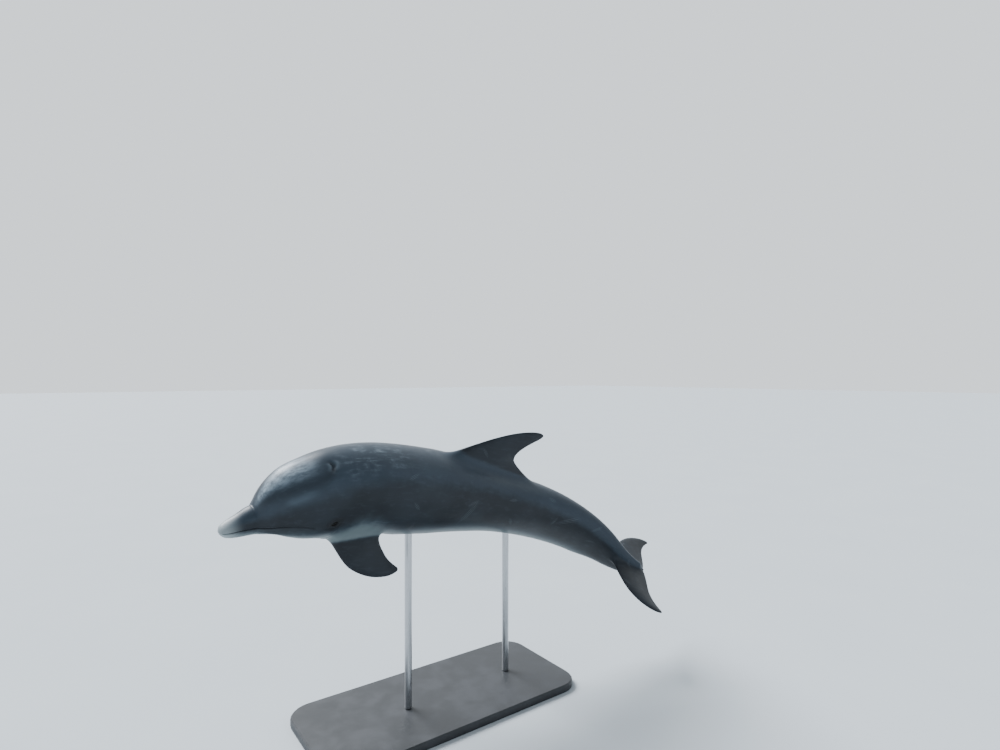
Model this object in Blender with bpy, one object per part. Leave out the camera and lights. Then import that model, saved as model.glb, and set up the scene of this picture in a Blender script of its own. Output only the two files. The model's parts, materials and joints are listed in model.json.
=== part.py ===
"""A bottlenose dolphin at life size, gliding in a slow turn to its left with the back banked over.

The body is one smooth form given by named sizes along its length, bent along a spine. It is parted
where a person would name its parts, with a thin gap at each parting, and stands on two rods.
Frame: +Z up, the nose toward -X, the animal's left side toward -Y, origin under the stand's middle.
"""
import math

import bmesh
import bpy
import numpy as np

# ---------------------------------------------------------------- sizes, in metres
BODY_LENGTH = 2.35          # tip of the upper jaw to the notch between the flukes
GAP = 0.0003                # between pieces that touch
SEGMENTS = 36               # facets round the body
ANGLES = np.radians(np.arange(SEGMENTS) * 360.0 / SEGMENTS)
FACET_ROUNDING = 1.0 / math.cos(math.pi / SEGMENTS)
SPINE_STEPS = 400
SNOUT_TIP = 0.0006          # the first ring of the snout, as a fraction of the body length
RING_CLEARANCE = 0.002      # least distance from a parting to the next ring, same fraction

# Outline of head and trunk, as fractions of the body length: distance from the snout tip,
# top line, bottom line and half width, measured from the body's middle line.
BODY_STATIONS = {
    "face base": (0.050, -0.031, -0.047, 0.010),
    "melon foot": (0.059, 0.002, -0.0495, 0.0250),
    "melon front": (0.074, 0.0290, -0.0500, 0.0380),
    "melon brow": (0.098, 0.0495, -0.0610, 0.0505),
    "forehead": (0.128, 0.0600, -0.0725, 0.0595),
    "eye": (0.158, 0.0700, -0.0775, 0.0645),
    "nape": (0.200, 0.0780, -0.0810, 0.069),
    "shoulder": (0.250, 0.0825, -0.0840, 0.071),
    "chest": (0.310, 0.084, -0.0855, 0.072),
    "girth": (0.380, 0.084, -0.0825, 0.071),
    "fin front": (0.450, 0.078, -0.074, 0.068),
    "fin rear": (0.570, 0.065, -0.064, 0.057),
    "loin": (0.700, 0.057, -0.065, 0.038),
    "stock": (0.800, 0.046, -0.0615, 0.025),
    "stock rear": (0.880, 0.034, -0.0425, 0.0165),
    "fluke front": (0.930, 0.026, -0.027, 0.0125),
    "fluke middle": (0.970, 0.015, -0.015, 0.0085),
    "tail end": (1.000, 0.002, -0.002, 0.0015),
}
# The beak is a narrow form of its own that runs back into the head.
BEAK_STATIONS = {
    "tip": (0.000, -0.0398, -0.0402, 0.0003),
    "tip round": (0.003, -0.0345, -0.0460, 0.0070),
    "tip full": (0.010, -0.0300, -0.0520, 0.0120),
    "beak middle": (0.030, -0.0215, -0.0560, 0.0168),
    "beak base": (0.052, -0.0120, -0.0555, 0.0215),
    "under melon": (0.080, -0.0210, -0.0600, 0.0280),
    "beak end": (0.120, -0.0320, -0.0520, 0.0120),
}
BEAK_LEVEL = -0.040         # the beak's middle line, below the body's
BEAK_LEVEL_END = 0.28       # where the middle lines have come together
CREASE_WIDTH = 0.010        # softness of the crease between beak and melon
BODY_SQUARENESS = 2.05
BEAK_SQUARENESS = 2.25
SHOULDER_SWELL = 0.0085     # the body fills out ahead of and under each flipper
SHOULDER_PLACE = 0.196
SHOULDER_LENGTH = 0.030
SHOULDER_ANGLE = -64.0
SHOULDER_SPREAD = 26.0

# Pose: where the body bends, in degrees of turn per body length.
SPINE_PLACES = (0.0, 0.12, 0.22, 0.35, 0.50, 0.64, 0.76, 0.86, 0.92, 1.0)
DOWN_BEND = (64.0, 64.0, 64.0, -6.0, -6.0, 23.0, 82.0, 144.0, -405.0, -405.0)
TURN_PLACES = (0.0, 0.25, 0.60, 1.0)
LEFT_BEND = (26.0, 26.0, 71.0, 71.0)
HEAD_HEADING = 8.0          # the body's line at the snout, turned from +X toward +Y
HEAD_PITCH = -9.0           # the same line, tilted
BANK = 27.5                 # back rolled toward the animal's left
BANK_GAIN = 15.0            # more bank at the flukes than at the trunk
BANK_GAIN_START = 0.40
TRUNK_PLACE = 0.42          # this point of the spine stands over the stand's middle
SNOUT_HEIGHT = 1.03         # above the ground

# Where the body is parted, as fractions of its length.
NECK_FRONT = 0.175
NECK_REAR = 0.196           # on the second ring of the flippers' roots
CHEST_REAR = 0.395
STOCK_FRONT = 0.700
TAIL_END = 0.994
BEAK_CUT = 0.0515
CREASE_LEAN = 0.004         # the cut at the crease leans forward by this much
CUT_TOP = 0.02
CUT_BOTTOM = -0.12
CUT_HALF_WIDTH = 0.12

# The mouth line in side view: distance along the body and level, as fractions of its length.
MOUTH_LINE = ((-0.010, -0.0400), (0.012, -0.0385), (0.032, -0.0365), (0.052, -0.0350),
              (0.070, -0.0300), (0.090, -0.0245), (0.112, -0.0240), (0.1365, -0.0290))

EYE_PLACE = 0.1645
EYE_ANGLE = 0.0             # degrees above the head's middle line
EYE_RADIUS = 0.0150
EYE_PROUD = 0.0022          # how far the ball stands out of the flesh

ROD_RADIUS = 0.016
ROD_PLACES = (0.345, 0.585)
ROD_IN_BODY = 0.060
ROD_SIDES = 20
ROD_BEVEL = 0.003
BORE_DROP = 0.25            # how far the bore's cutter starts below the belly
BASE_CORNER_STEPS = 6
BASE_SIZE = (1.24, 0.56, 0.036)
BASE_CORNER = 0.10
BASE_EDGE = 0.006


# ---------------------------------------------------------------- numbers from the sizes
def smooth_curve(place, places, values):
    """A curve through the values with no overshoot between them."""
    places = np.asarray(places, float)
    values = np.asarray(values, float)
    step = np.diff(places)
    slope = np.diff(values) / step
    tangent = np.concatenate(([slope[0]], np.zeros(len(slope) - 1), [slope[-1]]))
    for i in range(1, len(slope)):
        if slope[i - 1] * slope[i] > 0:
            before = 2 * step[i] + step[i - 1]
            after = step[i] + 2 * step[i - 1]
            tangent[i] = (before + after) / (before / slope[i - 1] + after / slope[i])
    x = np.clip(place, places[0], places[-1])
    k = np.clip(np.searchsorted(places, x, side="right") - 1, 0, len(step) - 1)
    t = (x - places[k]) / step[k]
    start = (2 * t**3 - 3 * t**2 + 1) * values[k] + (t**3 - 2 * t**2 + t) * step[k] * tangent[k]
    end = (3 * t**2 - 2 * t**3) * values[k + 1] + (t**3 - t**2) * step[k] * tangent[k + 1]
    return start + end


def station_curve(stations, column, place):
    rows = list(stations.values())
    return smooth_curve(place, [row[0] for row in rows], [row[column] for row in rows])


def ease(low, high, value):
    t = np.clip((value - low) / (high - low), 0.0, 1.0)
    return t * t * (3 - 2 * t)


def middle_level(place):
    return BEAK_LEVEL * (1 - ease(0.05, BEAK_LEVEL_END, place))


def oval_radius(across, up, half_width, above, below, squareness):
    """Distance from the middle to the edge of an egg-shaped section, in one direction."""
    height = np.maximum(np.where(up >= 0, above, below), 1e-5)
    width = np.maximum(half_width, 1e-5)
    sum_of_powers = (np.abs(across) / width) ** squareness + (np.abs(up) / height) ** squareness
    return sum_of_powers ** (-1 / squareness)


def soft_larger(a, b, softness):
    share = np.clip(0.5 + 0.5 * (a - b) / softness, 0.0, 1.0)
    return b * (1 - share) + a * share + softness * share * (1 - share)


def section_point(place, angle):
    """Across (toward the left) and up from the spine, as fractions of the length."""
    level = middle_level(place)
    across = np.cos(angle)
    up = np.sin(angle)
    head = oval_radius(across, up, station_curve(BODY_STATIONS, 3, place),
                       station_curve(BODY_STATIONS, 1, place) - level,
                       level - station_curve(BODY_STATIONS, 2, place), BODY_SQUARENESS)
    head = np.where(place < 0.05, 0.0, head)
    beak = oval_radius(across, up, station_curve(BEAK_STATIONS, 3, place),
                       station_curve(BEAK_STATIONS, 1, place) - level,
                       level - station_curve(BEAK_STATIONS, 2, place), BEAK_SQUARENESS)
    beak = np.where(place > 0.12, 0.0, beak)
    join = CREASE_WIDTH * ease(0.0, 0.04, place) + 1e-6
    side_angle = np.degrees(np.arctan2(up, np.abs(across)))
    swell = SHOULDER_SWELL * np.exp(-((place - SHOULDER_PLACE) / SHOULDER_LENGTH) ** 2
                                    - ((side_angle - SHOULDER_ANGLE) / SHOULDER_SPREAD) ** 2)
    radius = soft_larger(head, beak, join) + swell
    return radius * across, level + radius * up


# ---------------------------------------------------------------- the bent spine
def make_spine():
    """Positions and directions (tailward, up, left) at even steps along the body."""
    step = 1.0 / SPINE_STEPS
    places = np.linspace(0.0, 1.0, SPINE_STEPS + 1)
    down = np.radians(np.interp(places, SPINE_PLACES, DOWN_BEND)) * step
    turn = np.radians(np.interp(places, TURN_PLACES, LEFT_BEND)) * step
    heading = math.radians(HEAD_HEADING)
    pitch = math.radians(HEAD_PITCH)
    tail = np.array([math.cos(heading) * math.cos(pitch), math.sin(heading) * math.cos(pitch),
                     -math.sin(pitch)])
    left = np.array([math.sin(heading), -math.cos(heading), 0.0])
    up = np.cross(left, tail)
    bank = math.radians(BANK)
    up, left = up * math.cos(bank) + left * math.sin(bank), left * math.cos(bank) - up * math.sin(bank)
    point = np.zeros(3)
    rows = []
    for i in range(SPINE_STEPS + 1):
        gain = math.radians(BANK_GAIN) * ease(BANK_GAIN_START, 1.0, places[i])
        up_here = up * math.cos(gain) + left * math.sin(gain)
        left_here = left * math.cos(gain) - up * math.sin(gain)
        rows.append(np.concatenate((point, tail, up_here, left_here)))
        point = point + BODY_LENGTH * step * tail
        tail, up = (tail * math.cos(down[i]) - up * math.sin(down[i]),
                    up * math.cos(down[i]) + tail * math.sin(down[i]))
        tail, left = (tail * math.cos(turn[i]) + left * math.sin(turn[i]),
                      left * math.cos(turn[i]) - tail * math.sin(turn[i]))
    rows = np.array(rows)
    over_stand = rows[int(TRUNK_PLACE * SPINE_STEPS), 0:3]
    rows[:, 0:3] -= np.array([over_stand[0], over_stand[1], -SNOUT_HEIGHT])
    return places, rows


SPINE = make_spine()


def spine_at(place):
    flat = np.atleast_1d(np.asarray(place, float)).ravel()
    table = np.stack([np.interp(flat, SPINE[0], SPINE[1][:, c]) for c in range(12)], axis=1)
    return table[:, 0:3], table[:, 3:6], table[:, 6:9], table[:, 9:12]


def posed(place, across, level):
    """Carry points from the straight body (fractions of its length) to the bent one."""
    place, across, level = np.broadcast_arrays(place, across, level)
    point, _, up, left = spine_at(place)
    offset = across.reshape(-1, 1) * left + level.reshape(-1, 1) * up
    return (point + BODY_LENGTH * offset).reshape(place.shape + (3,))


def body_surface(place, angle):
    place, angle = np.broadcast_arrays(np.asarray(place, float), np.asarray(angle, float))
    across, level = section_point(place, angle)
    return posed(place, across, level)


# ---------------------------------------------------------------- meshes
def make_material(name, colour, roughness, metallic=0.0):
    material = bpy.data.materials.new(name)
    material.use_nodes = True
    shader = material.node_tree.nodes["Principled BSDF"]
    shader.inputs["Base Color"].default_value = (*colour, 1.0)
    shader.inputs["Roughness"].default_value = roughness
    shader.inputs["Metallic"].default_value = metallic
    return material


def make_object(name, points, faces, material):
    mesh = bpy.data.meshes.new(name)
    mesh.from_pydata([tuple(p) for p in points], [], faces)
    work = bmesh.new()
    work.from_mesh(mesh)
    bmesh.ops.recalc_face_normals(work, faces=work.faces)
    if work.calc_volume(signed=True) < 0:
        bmesh.ops.reverse_faces(work, faces=work.faces)
    bmesh.ops.triangulate(work, faces=[f for f in work.faces if len(f.verts) > 4])
    work.to_mesh(mesh)
    work.free()
    mesh.update()
    thing = bpy.data.objects.new(name, mesh)
    bpy.context.scene.collection.objects.link(thing)
    if material:
        mesh.materials.append(material)
    return thing


def halves(near, beside, across, ahead):
    """A four-sided facet as two triangles, always split the same way."""
    return [(near, beside, across), (near, across, ahead)]


def ring_faces(rings, count, first=0):
    """Facets between neighbouring rings of `count` points each."""
    faces = []
    for r in range(rings - 1):
        a = first + r * count
        b = a + count
        for j in range(count):
            k = (j + 1) % count
            faces += halves(a + j, a + k, b + k, b + j)
    return faces


def fan_cap(loop, centre):
    return [(loop[j], loop[(j + 1) % len(loop)], centre) for j in range(len(loop))]


def closed_loft(name, rings, material):
    """Rings of points skinned together, with a fan of triangles at each end."""
    rings = np.asarray(rings)
    total, count = rings.shape[0], rings.shape[1]
    points = list(rings.reshape(-1, 3))
    faces = ring_faces(total, count)
    points.append(rings[0].mean(axis=0))
    points.append(rings[-1].mean(axis=0))
    faces += fan_cap(list(range(count)), len(points) - 2)
    faces += fan_cap(list(range((total - 1) * count, total * count)), len(points) - 1)
    return make_object(name, points, faces, material)


def facet_point(place, angle, lift=0.0):
    """A corner of the body's facets, drawn just outside the smooth section so they don't cut into it."""
    place, angle = np.broadcast_arrays(np.asarray(place, float), np.asarray(angle, float))
    across, level = section_point(place, angle)
    middle = middle_level(place)
    rise = lift / BODY_LENGTH
    return posed(place, across * FACET_ROUNDING + rise * np.cos(angle),
                 middle + (level - middle) * FACET_ROUNDING + rise * np.sin(angle))


def body_ring(place):
    return facet_point(np.full(SEGMENTS, place), ANGLES)


def body_piece(name, start, end, inner_places, material):
    half_gap = 0.5 * GAP / BODY_LENGTH
    first = start + half_gap if start > 0 else SNOUT_TIP
    last = end - half_gap
    low, high = first + RING_CLEARANCE, last - RING_CLEARANCE
    places = [first] + [p for p in inner_places if low < p < high] + [last]
    return closed_loft(name, [body_ring(p) for p in places], material)


# ---------------------------------------------------------------- fins
def bezier(control, t):
    a, b, c, d = [np.asarray(p, float) for p in control]
    t = np.asarray(t, float)[..., None]
    return (1 - t) ** 3 * a + 3 * t * (1 - t) ** 2 * b + 3 * t**2 * (1 - t) * c + t**3 * d


def foil_half_thickness(chordwise):
    """Half thickness of a rounded-nose foil with a fine tail, its greatest value 0.5."""
    x = np.clip(chordwise, 0.0, 1.0)
    return 5 * (0.2969 * np.sqrt(x) - 0.1260 * x - 0.3516 * x**2 + 0.2843 * x**3 - 0.1036 * x**4)


def fin_edges(shape, t):
    """Leading and trailing edge at span fraction t, the corner at the tip cut by an arc."""
    lead = bezier(shape["leading edge"], min(t, TIP_ARC))
    trail = bezier(shape["trailing edge"], min(t, TIP_ARC))
    if t <= TIP_ARC:
        return lead, trail
    corner = 0.5 * (np.asarray(shape["leading edge"][3]) + np.asarray(shape["trailing edge"][3]))
    u = 0.48 * (t - TIP_ARC) / (1 - TIP_ARC)
    near, far = (1 - u) ** 2, u**2
    return (near * lead + 2 * u * (1 - u) * corner + far * trail,
            near * trail + 2 * u * (1 - u) * corner + far * lead)


def fin_section(shape, t, count):
    """Points round the fin at span fraction t: (tailward, outward, across) in metres."""
    lead, trail = fin_edges(shape, t)
    turn = np.arange(count) * 2 * np.pi / count
    chordwise = 0.5 * (1 - np.cos(turn))
    chord = np.linalg.norm(trail - lead)
    ratio = np.interp(t, (0.0, 1.0), shape["thickness ratio"])
    half = chord * ratio * foil_half_thickness(chordwise) + shape["edge thickness"] * 0.5
    rounding = np.sqrt(np.clip(np.abs(np.sin(turn)), 0.0, 1.0))
    flat = lead + chordwise[:, None] * (trail - lead)
    return np.column_stack((flat, np.sign(np.sin(turn)) * half * rounding))


def fin_frame(shape):
    """Origin and axes of a fin, from the place and angle of its root on the body."""
    place = shape["root place"]
    angle = math.radians(shape["root angle"])
    origin = body_surface(place, angle)
    ahead = body_surface(place + 0.01, angle)
    beside = body_surface(place, angle + 0.05)
    tailward = (ahead - origin) / np.linalg.norm(ahead - origin)
    outward = np.cross(beside - origin, tailward)
    outward /= np.linalg.norm(outward)
    middle = posed(place, 0.0, middle_level(place))
    if np.dot(outward, origin - middle) < 0:
        outward = -outward
    across = np.cross(tailward, outward)
    lean = math.radians(shape["lean"])
    outward, across = (outward * math.cos(lean) + across * math.sin(lean),
                       across * math.cos(lean) - outward * math.sin(lean))
    return origin, tailward, outward, across


def patch_loop(shape, angles):
    """Places and angles round the fin's root on the body, from the front middle, one way round."""
    start, end = shape["root span"]
    places = np.linspace(start, end, shape["root steps"] + 1)
    low, high = shape["root angles"]
    step = angles[1] - angles[0]
    rows = int(round(math.radians(high - low) / step))
    turns = math.radians(low) + np.arange(rows + 1) * step
    half = rows // 2
    loop = [(places[0], turns[j]) for j in range(half, rows + 1)]
    loop += [(p, turns[-1]) for p in places[1:]]
    loop += [(places[-1], turns[j]) for j in range(rows - 1, -1, -1)]
    loop += [(p, turns[0]) for p in places[-2::-1]]
    loop += [(places[0], turns[j]) for j in range(1, half)]
    return places, turns, np.array(loop)


def make_fin(name, shape, material):
    """A solid fin whose root follows the body's skin, a gap above it, and flows out of it."""
    places, turns, loop = patch_loop(shape, ANGLES)
    base = facet_point(loop[:, 0], loop[:, 1], GAP)
    count = len(loop)
    origin, tailward, outward, across = fin_frame(shape)
    away = base - posed(loop[:, 0], 0.0, middle_level(loop[:, 0]))
    away /= np.linalg.norm(away, axis=1)[:, None]

    def placed(t):
        local = fin_section(shape, t, count)
        local[:, 0] += shape["root shift"]
        turned = local @ np.stack((tailward, outward, across))
        return origin + turned

    first = placed(shape["free from"])
    second = placed(shape["free from"] + 0.03)
    side = np.sin(np.arange(count) * 2 * np.pi / count)
    flip = np.arange(count)
    if (side * ((base - base.mean(axis=0)) @ across)).sum() < 0:
        flip = np.roll(flip[::-1], 1)
    first = first[flip]
    second = second[flip]
    reach = first - base
    rise = (reach * away).sum(axis=1)[:, None]
    along = reach - rise * away
    size = np.linalg.norm(reach, axis=1)[:, None]
    leave = 0.7 * along + 0.6 * size * away
    climb = second - first
    climb = climb / np.linalg.norm(climb, axis=1)[:, None] * np.minimum(1.1 * size, 1.6 * rise)
    rings = [base]
    for u in shape["fillet steps"]:
        rings.append((2 * u**3 - 3 * u**2 + 1) * base + (u**3 - 2 * u**2 + u) * leave
                     + (3 * u**2 - 2 * u**3) * first + (u**3 - u**2) * climb)
    for t in shape["span steps"]:
        rings.append(placed(t)[flip])
    points = list(np.array(rings).reshape(-1, 3))
    faces = ring_faces(len(rings), count)
    points.append(rings[-1].mean(axis=0))
    faces += fan_cap(list(range((len(rings) - 1) * count, len(rings) * count)), len(points) - 1)
    floor_index = {}
    for k, (p, a) in enumerate(loop):
        floor_index[(int(np.argmin(np.abs(places - p))), int(np.argmin(np.abs(turns - a))))] = k
    for i in range(len(places)):
        for j in range(len(turns)):
            if (i, j) not in floor_index:
                floor_index[(i, j)] = len(points)
                points.append(facet_point(places[i], turns[j], GAP))
    for i in range(len(places) - 1):
        for j in range(len(turns) - 1):
            faces += halves(floor_index[i, j], floor_index[i, j + 1],
                            floor_index[i + 1, j + 1], floor_index[i + 1, j])
    return make_object(name, points, faces, material)


TIP_ARC = 0.88
DORSAL_FIN = {
    "root place": 0.490, "root angle": 90.0, "root span": (0.400, 0.620), "root steps": 8,
    "root angles": (80.0, 100.0), "root shift": -0.190, "lean": 0.0, "free from": 0.10,
    "leading edge": ((-0.043, -0.006), (0.118, 0.106), (0.253, 0.252), (0.437, 0.260)),
    "trailing edge": ((0.508, 0.015), (0.258, 0.054), (0.290, 0.108), (0.437, 0.260)),
    "thickness ratio": (0.105, 0.200), "edge thickness": 0.0030,
    "fillet steps": (0.4, 1.0),
    "span steps": (0.2, 0.32, 0.45, 0.58, 0.71, 0.82, 0.88, 0.93, 0.97, 1.0),
}
FLIPPER_LEFT = {
    "root place": 0.2365, "root angle": -50.0, "root span": (0.179, 0.281), "root steps": 6,
    "root angles": (-60.0, -40.0), "root shift": -0.098, "lean": 17.0, "free from": 0.10,
    "leading edge": ((-0.033, -0.008), (-0.018, 0.079), (0.118, 0.227), (0.298, 0.173)),
    "trailing edge": ((0.182, 0.002), (0.215, 0.093), (0.206, 0.108), (0.298, 0.173)),
    "thickness ratio": (0.150, 0.180), "edge thickness": 0.0028,
    "fillet steps": (0.4, 1.0),
    "span steps": (0.2, 0.32, 0.45, 0.58, 0.71, 0.82, 0.88, 0.93, 0.97, 1.0),
}
FLUKE_LEFT = {
    "root place": 0.950, "root angle": 0.0, "root span": (0.902, 0.986), "root steps": 6,
    "root angles": (-30.0, 30.0), "root shift": -0.110, "lean": 0.0, "free from": 0.13,
    "leading edge": ((-0.010, -0.031), (0.009, 0.082), (0.049, 0.264), (0.240, 0.268)),
    "trailing edge": ((0.206, -0.033), (0.167, 0.097), (0.159, 0.187), (0.240, 0.268)),
    "thickness ratio": (0.120, 0.200), "edge thickness": 0.0026,
    "fillet steps": (0.4, 1.0),
    "span steps": (0.22, 0.32, 0.45, 0.58, 0.71, 0.82, 0.88, 0.93, 0.97, 1.0),
}


def mirrored(shape):
    """The same fin on the right side of the body."""
    other = dict(shape)
    low, high = shape["root angles"]
    other["root angle"] = 180.0 - shape["root angle"]
    other["root angles"] = (180.0 - high, 180.0 - low)
    other["lean"] = -shape["lean"]
    return other


# ---------------------------------------------------------------- cuts
def make_triangles(thing):
    """Flat faces only, so that a cut leaves nothing warped behind."""
    work = bmesh.new()
    work.from_mesh(thing.data)
    bmesh.ops.triangulate(work, faces=list(work.faces))
    work.to_mesh(thing.data)
    work.free()


def cut_away(target, cutter):
    make_triangles(target)
    make_triangles(cutter)
    modifier = target.modifiers.new("cut", "BOOLEAN")
    modifier.object = cutter
    modifier.operation = "DIFFERENCE"
    modifier.solver = "EXACT"
    cutter.hide_render = True
    cutter.display_type = "WIRE"
    graph = bpy.context.evaluated_depsgraph_get()
    mesh = bpy.data.meshes.new_from_object(target.evaluated_get(graph))
    old = target.data
    target.modifiers.clear()
    target.data = mesh
    mesh.name = target.name
    bpy.data.meshes.remove(old)
    bpy.data.objects.remove(cutter)
    make_triangles(target)


def jaw_cutter(half_width):
    """One thin sheet across the body: along the mouth, up at the crease and down behind the jaw."""
    thin = 0.5 * GAP / BODY_LENGTH
    places = np.linspace(MOUTH_LINE[0][0], MOUTH_LINE[-1][0], 12)
    levels = smooth_curve(places, [p for p, _ in MOUTH_LINE], [z for _, z in MOUTH_LINE])
    crease = float(np.interp(BEAK_CUT, places, levels))
    over = [(p, z + thin) for p, z in zip(places, levels)]
    ahead = [point for point in over if point[0] < BEAK_CUT - 0.001]
    behind = [point for point in over[:-1] if point[0] > BEAK_CUT + 0.001]
    top = BEAK_CUT - CREASE_LEAN
    rise = [(BEAK_CUT - thin, crease + thin), (top - thin, CUT_TOP),
            (top + thin, CUT_TOP), (BEAK_CUT + thin, crease + thin)]
    last, low = places[-1], levels[-1]
    drop = [(last + thin, low + thin), (last + thin, CUT_BOTTOM),
            (last - thin, CUT_BOTTOM), (last - thin, low - thin)]
    under = [(p, z - thin) for p, z in zip(places[:-1], levels[:-1])]
    outline = ahead + rise + behind + drop + under[::-1]
    count = len(outline)
    points = [extended(p, side * half_width, z) for side in (-1, 1) for p, z in outline]
    faces = [list(range(count)), list(range(count, 2 * count))]
    for j in range(count):
        k = (j + 1) % count
        faces.append((j, k, count + k, count + j))
    return make_object("jaw cut", points, faces, None)


def extended(place, across, level):
    """Like posed(), and also for points ahead of the snout."""
    point = posed(max(place, 0.0), across, level)
    tailward = spine_at(0.0)[1][0]
    return point + BODY_LENGTH * min(place, 0.0) * tailward


def split_loose(thing):
    """Part one object into its separate closed bodies."""
    bpy.ops.object.select_all(action="DESELECT")
    thing.select_set(True)
    bpy.context.view_layer.objects.active = thing
    bpy.ops.mesh.separate(type="LOOSE")
    return list(bpy.context.selected_objects)


def ball(name, centre, radius, rings, segments, material):
    work = bmesh.new()
    bmesh.ops.create_uvsphere(work, u_segments=segments, v_segments=rings, radius=radius)
    points = [np.array(v.co) + centre for v in work.verts]
    faces = [[v.index for v in f.verts] for f in work.faces]
    work.free()
    return make_object(name, points, faces, material)


def turned_piece(name, centre, profile, segments, material):
    """A solid of revolution about an upright axis from (radius, height) pairs."""
    angles = np.arange(segments) * 2 * np.pi / segments
    rings = []
    for radius, height in profile:
        rings.append(np.column_stack((centre[0] + radius * np.cos(angles),
                                      centre[1] + radius * np.sin(angles),
                                      np.full(segments, height))))
    return closed_loft(name, rings, material)


# ---------------------------------------------------------------- the animal
def make_head(flesh):
    """The front of the body, parted into upper jaw, lower jaw and head."""
    inner = (0.0020, 0.0040, 0.008, 0.014, 0.025, 0.040, 0.047, 0.0515, 0.0550,
             0.060, 0.067, 0.076, 0.086, 0.098, 0.112, 0.130, 0.148, 0.162)
    whole = body_piece("head", 0.0, NECK_FRONT, inner, flesh)
    cut_away(whole, jaw_cutter(CUT_HALF_WIDTH))
    for side in (0, 1):
        cut_away(whole, ball("socket", eye_centre(side), EYE_RADIUS + GAP, 10, 16, None))
    snout = posed(0.0, 0.0, BEAK_LEVEL)

    def reach(piece):
        points = np.array([v.co for v in piece.data.vertices])
        return np.linalg.norm(points - snout, axis=1).max()

    pieces = sorted(split_loose(whole), key=reach)
    for piece, name in zip(pieces, ("upper_jaw", "lower_jaw", "head")):
        piece.name = name
        piece.data.name = name


def eye_centre(side):
    angle = math.radians(EYE_ANGLE if side == 0 else 180.0 - EYE_ANGLE)
    skin = body_surface(EYE_PLACE, angle)
    middle = posed(EYE_PLACE, 0.0, middle_level(EYE_PLACE))
    inward = (middle - skin) / np.linalg.norm(middle - skin)
    return skin + inward * (EYE_RADIUS - EYE_PROUD)


def make_body(flesh):
    body_piece("neck", NECK_FRONT, NECK_REAR, (FLIPPER_LEFT["root span"][0],), flesh)
    chest_places = tuple(np.linspace(*FLIPPER_LEFT["root span"], 7)) + (0.315, 0.34, 0.368)
    body_piece("chest", NECK_REAR, CHEST_REAR, chest_places, flesh)
    belly_places = tuple(np.linspace(*DORSAL_FIN["root span"], 9)) + (0.645, 0.672)
    body_piece("abdomen", CHEST_REAR, STOCK_FRONT, belly_places, flesh)
    tail_places = (0.73, 0.76, 0.79, 0.82, 0.85, 0.877)
    tail_places += tuple(np.linspace(*FLUKE_LEFT["root span"], 7)) + (0.991,)
    body_piece("tail_stock", STOCK_FRONT, TAIL_END, tail_places, flesh)


def make_fins(flesh):
    make_fin("dorsal_fin", DORSAL_FIN, flesh)
    make_fin("flipper_left", FLIPPER_LEFT, flesh)
    make_fin("flipper_right", mirrored(FLIPPER_LEFT), flesh)
    make_fin("fluke_left", FLUKE_LEFT, flesh)
    make_fin("fluke_right", mirrored(FLUKE_LEFT), flesh)


def make_eyes(eye_material):
    for side, name in ((0, "eye_left"), (1, "eye_right")):
        ball(name, eye_centre(side), EYE_RADIUS, 10, 16, eye_material)


def belly_under(place):
    """The lowest point of the body's skin on an upright line through the spine at this place."""
    centre = posed(place, 0.0, middle_level(place))
    around = body_surface(np.full(720, place), np.radians(np.arange(720) * 0.5))
    below = around[around[:, 2] < centre[2]]
    sideways = np.linalg.norm(below[:, 0:2] - centre[0:2], axis=1)
    return centre, below[np.argmin(sideways)]


def make_stand(plate, metal):
    length, width, height = BASE_SIZE
    corners = []
    for cx, cy, start in ((1, 1, 0), (-1, 1, 90), (-1, -1, 180), (1, -1, 270)):
        for step in range(BASE_CORNER_STEPS + 1):
            a = math.radians(start + step * 90 / BASE_CORNER_STEPS)
            corners.append((cx * (length / 2 - BASE_CORNER) + BASE_CORNER * math.cos(a),
                            cy * (width / 2 - BASE_CORNER) + BASE_CORNER * math.sin(a)))
    outline = np.array(corners)
    inset = 1 - BASE_EDGE / np.linalg.norm(outline, axis=1)
    levels = ((0.0, inset), (BASE_EDGE * 0.6, 1.0), (height - BASE_EDGE, 1.0), (height, inset))
    rings = []
    for level, scale in levels:
        flat = outline * np.reshape(scale, (-1, 1)) if np.ndim(scale) else outline
        rings.append(np.column_stack((flat, np.full(len(flat), level))))
    closed_loft("stand_base", rings, plate)
    for place, name, owner in zip(ROD_PLACES, ("stand_rod_front", "stand_rod_rear"),
                                  ("chest", "abdomen")):
        centre, skin = belly_under(place)
        top = skin[2] + ROD_IN_BODY
        bottom = height + GAP
        profile = ((ROD_RADIUS - ROD_BEVEL, bottom), (ROD_RADIUS, bottom + ROD_BEVEL),
                   (ROD_RADIUS, top - ROD_BEVEL), (ROD_RADIUS - ROD_BEVEL, top))
        turned_piece(name, centre, profile, ROD_SIDES, metal)
        bore = ((ROD_RADIUS + GAP, skin[2] - BORE_DROP), (ROD_RADIUS + GAP, top + GAP))
        cut_away(bpy.data.objects[owner], turned_piece("bore", centre, bore, ROD_SIDES, None))


def main():
    for thing in list(bpy.data.objects):
        bpy.data.objects.remove(thing)
    flesh = make_material("dolphin skin", (0.16, 0.19, 0.22), 0.42)
    eye_material = make_material("eye", (0.012, 0.010, 0.010), 0.06)
    plate = make_material("stand plate", (0.05, 0.05, 0.055), 0.45)
    metal = make_material("stand steel", (0.62, 0.63, 0.65), 0.3, 1.0)
    make_head(flesh)
    make_body(flesh)
    make_fins(flesh)
    make_eyes(eye_material)
    make_stand(plate, metal)


main()
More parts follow.
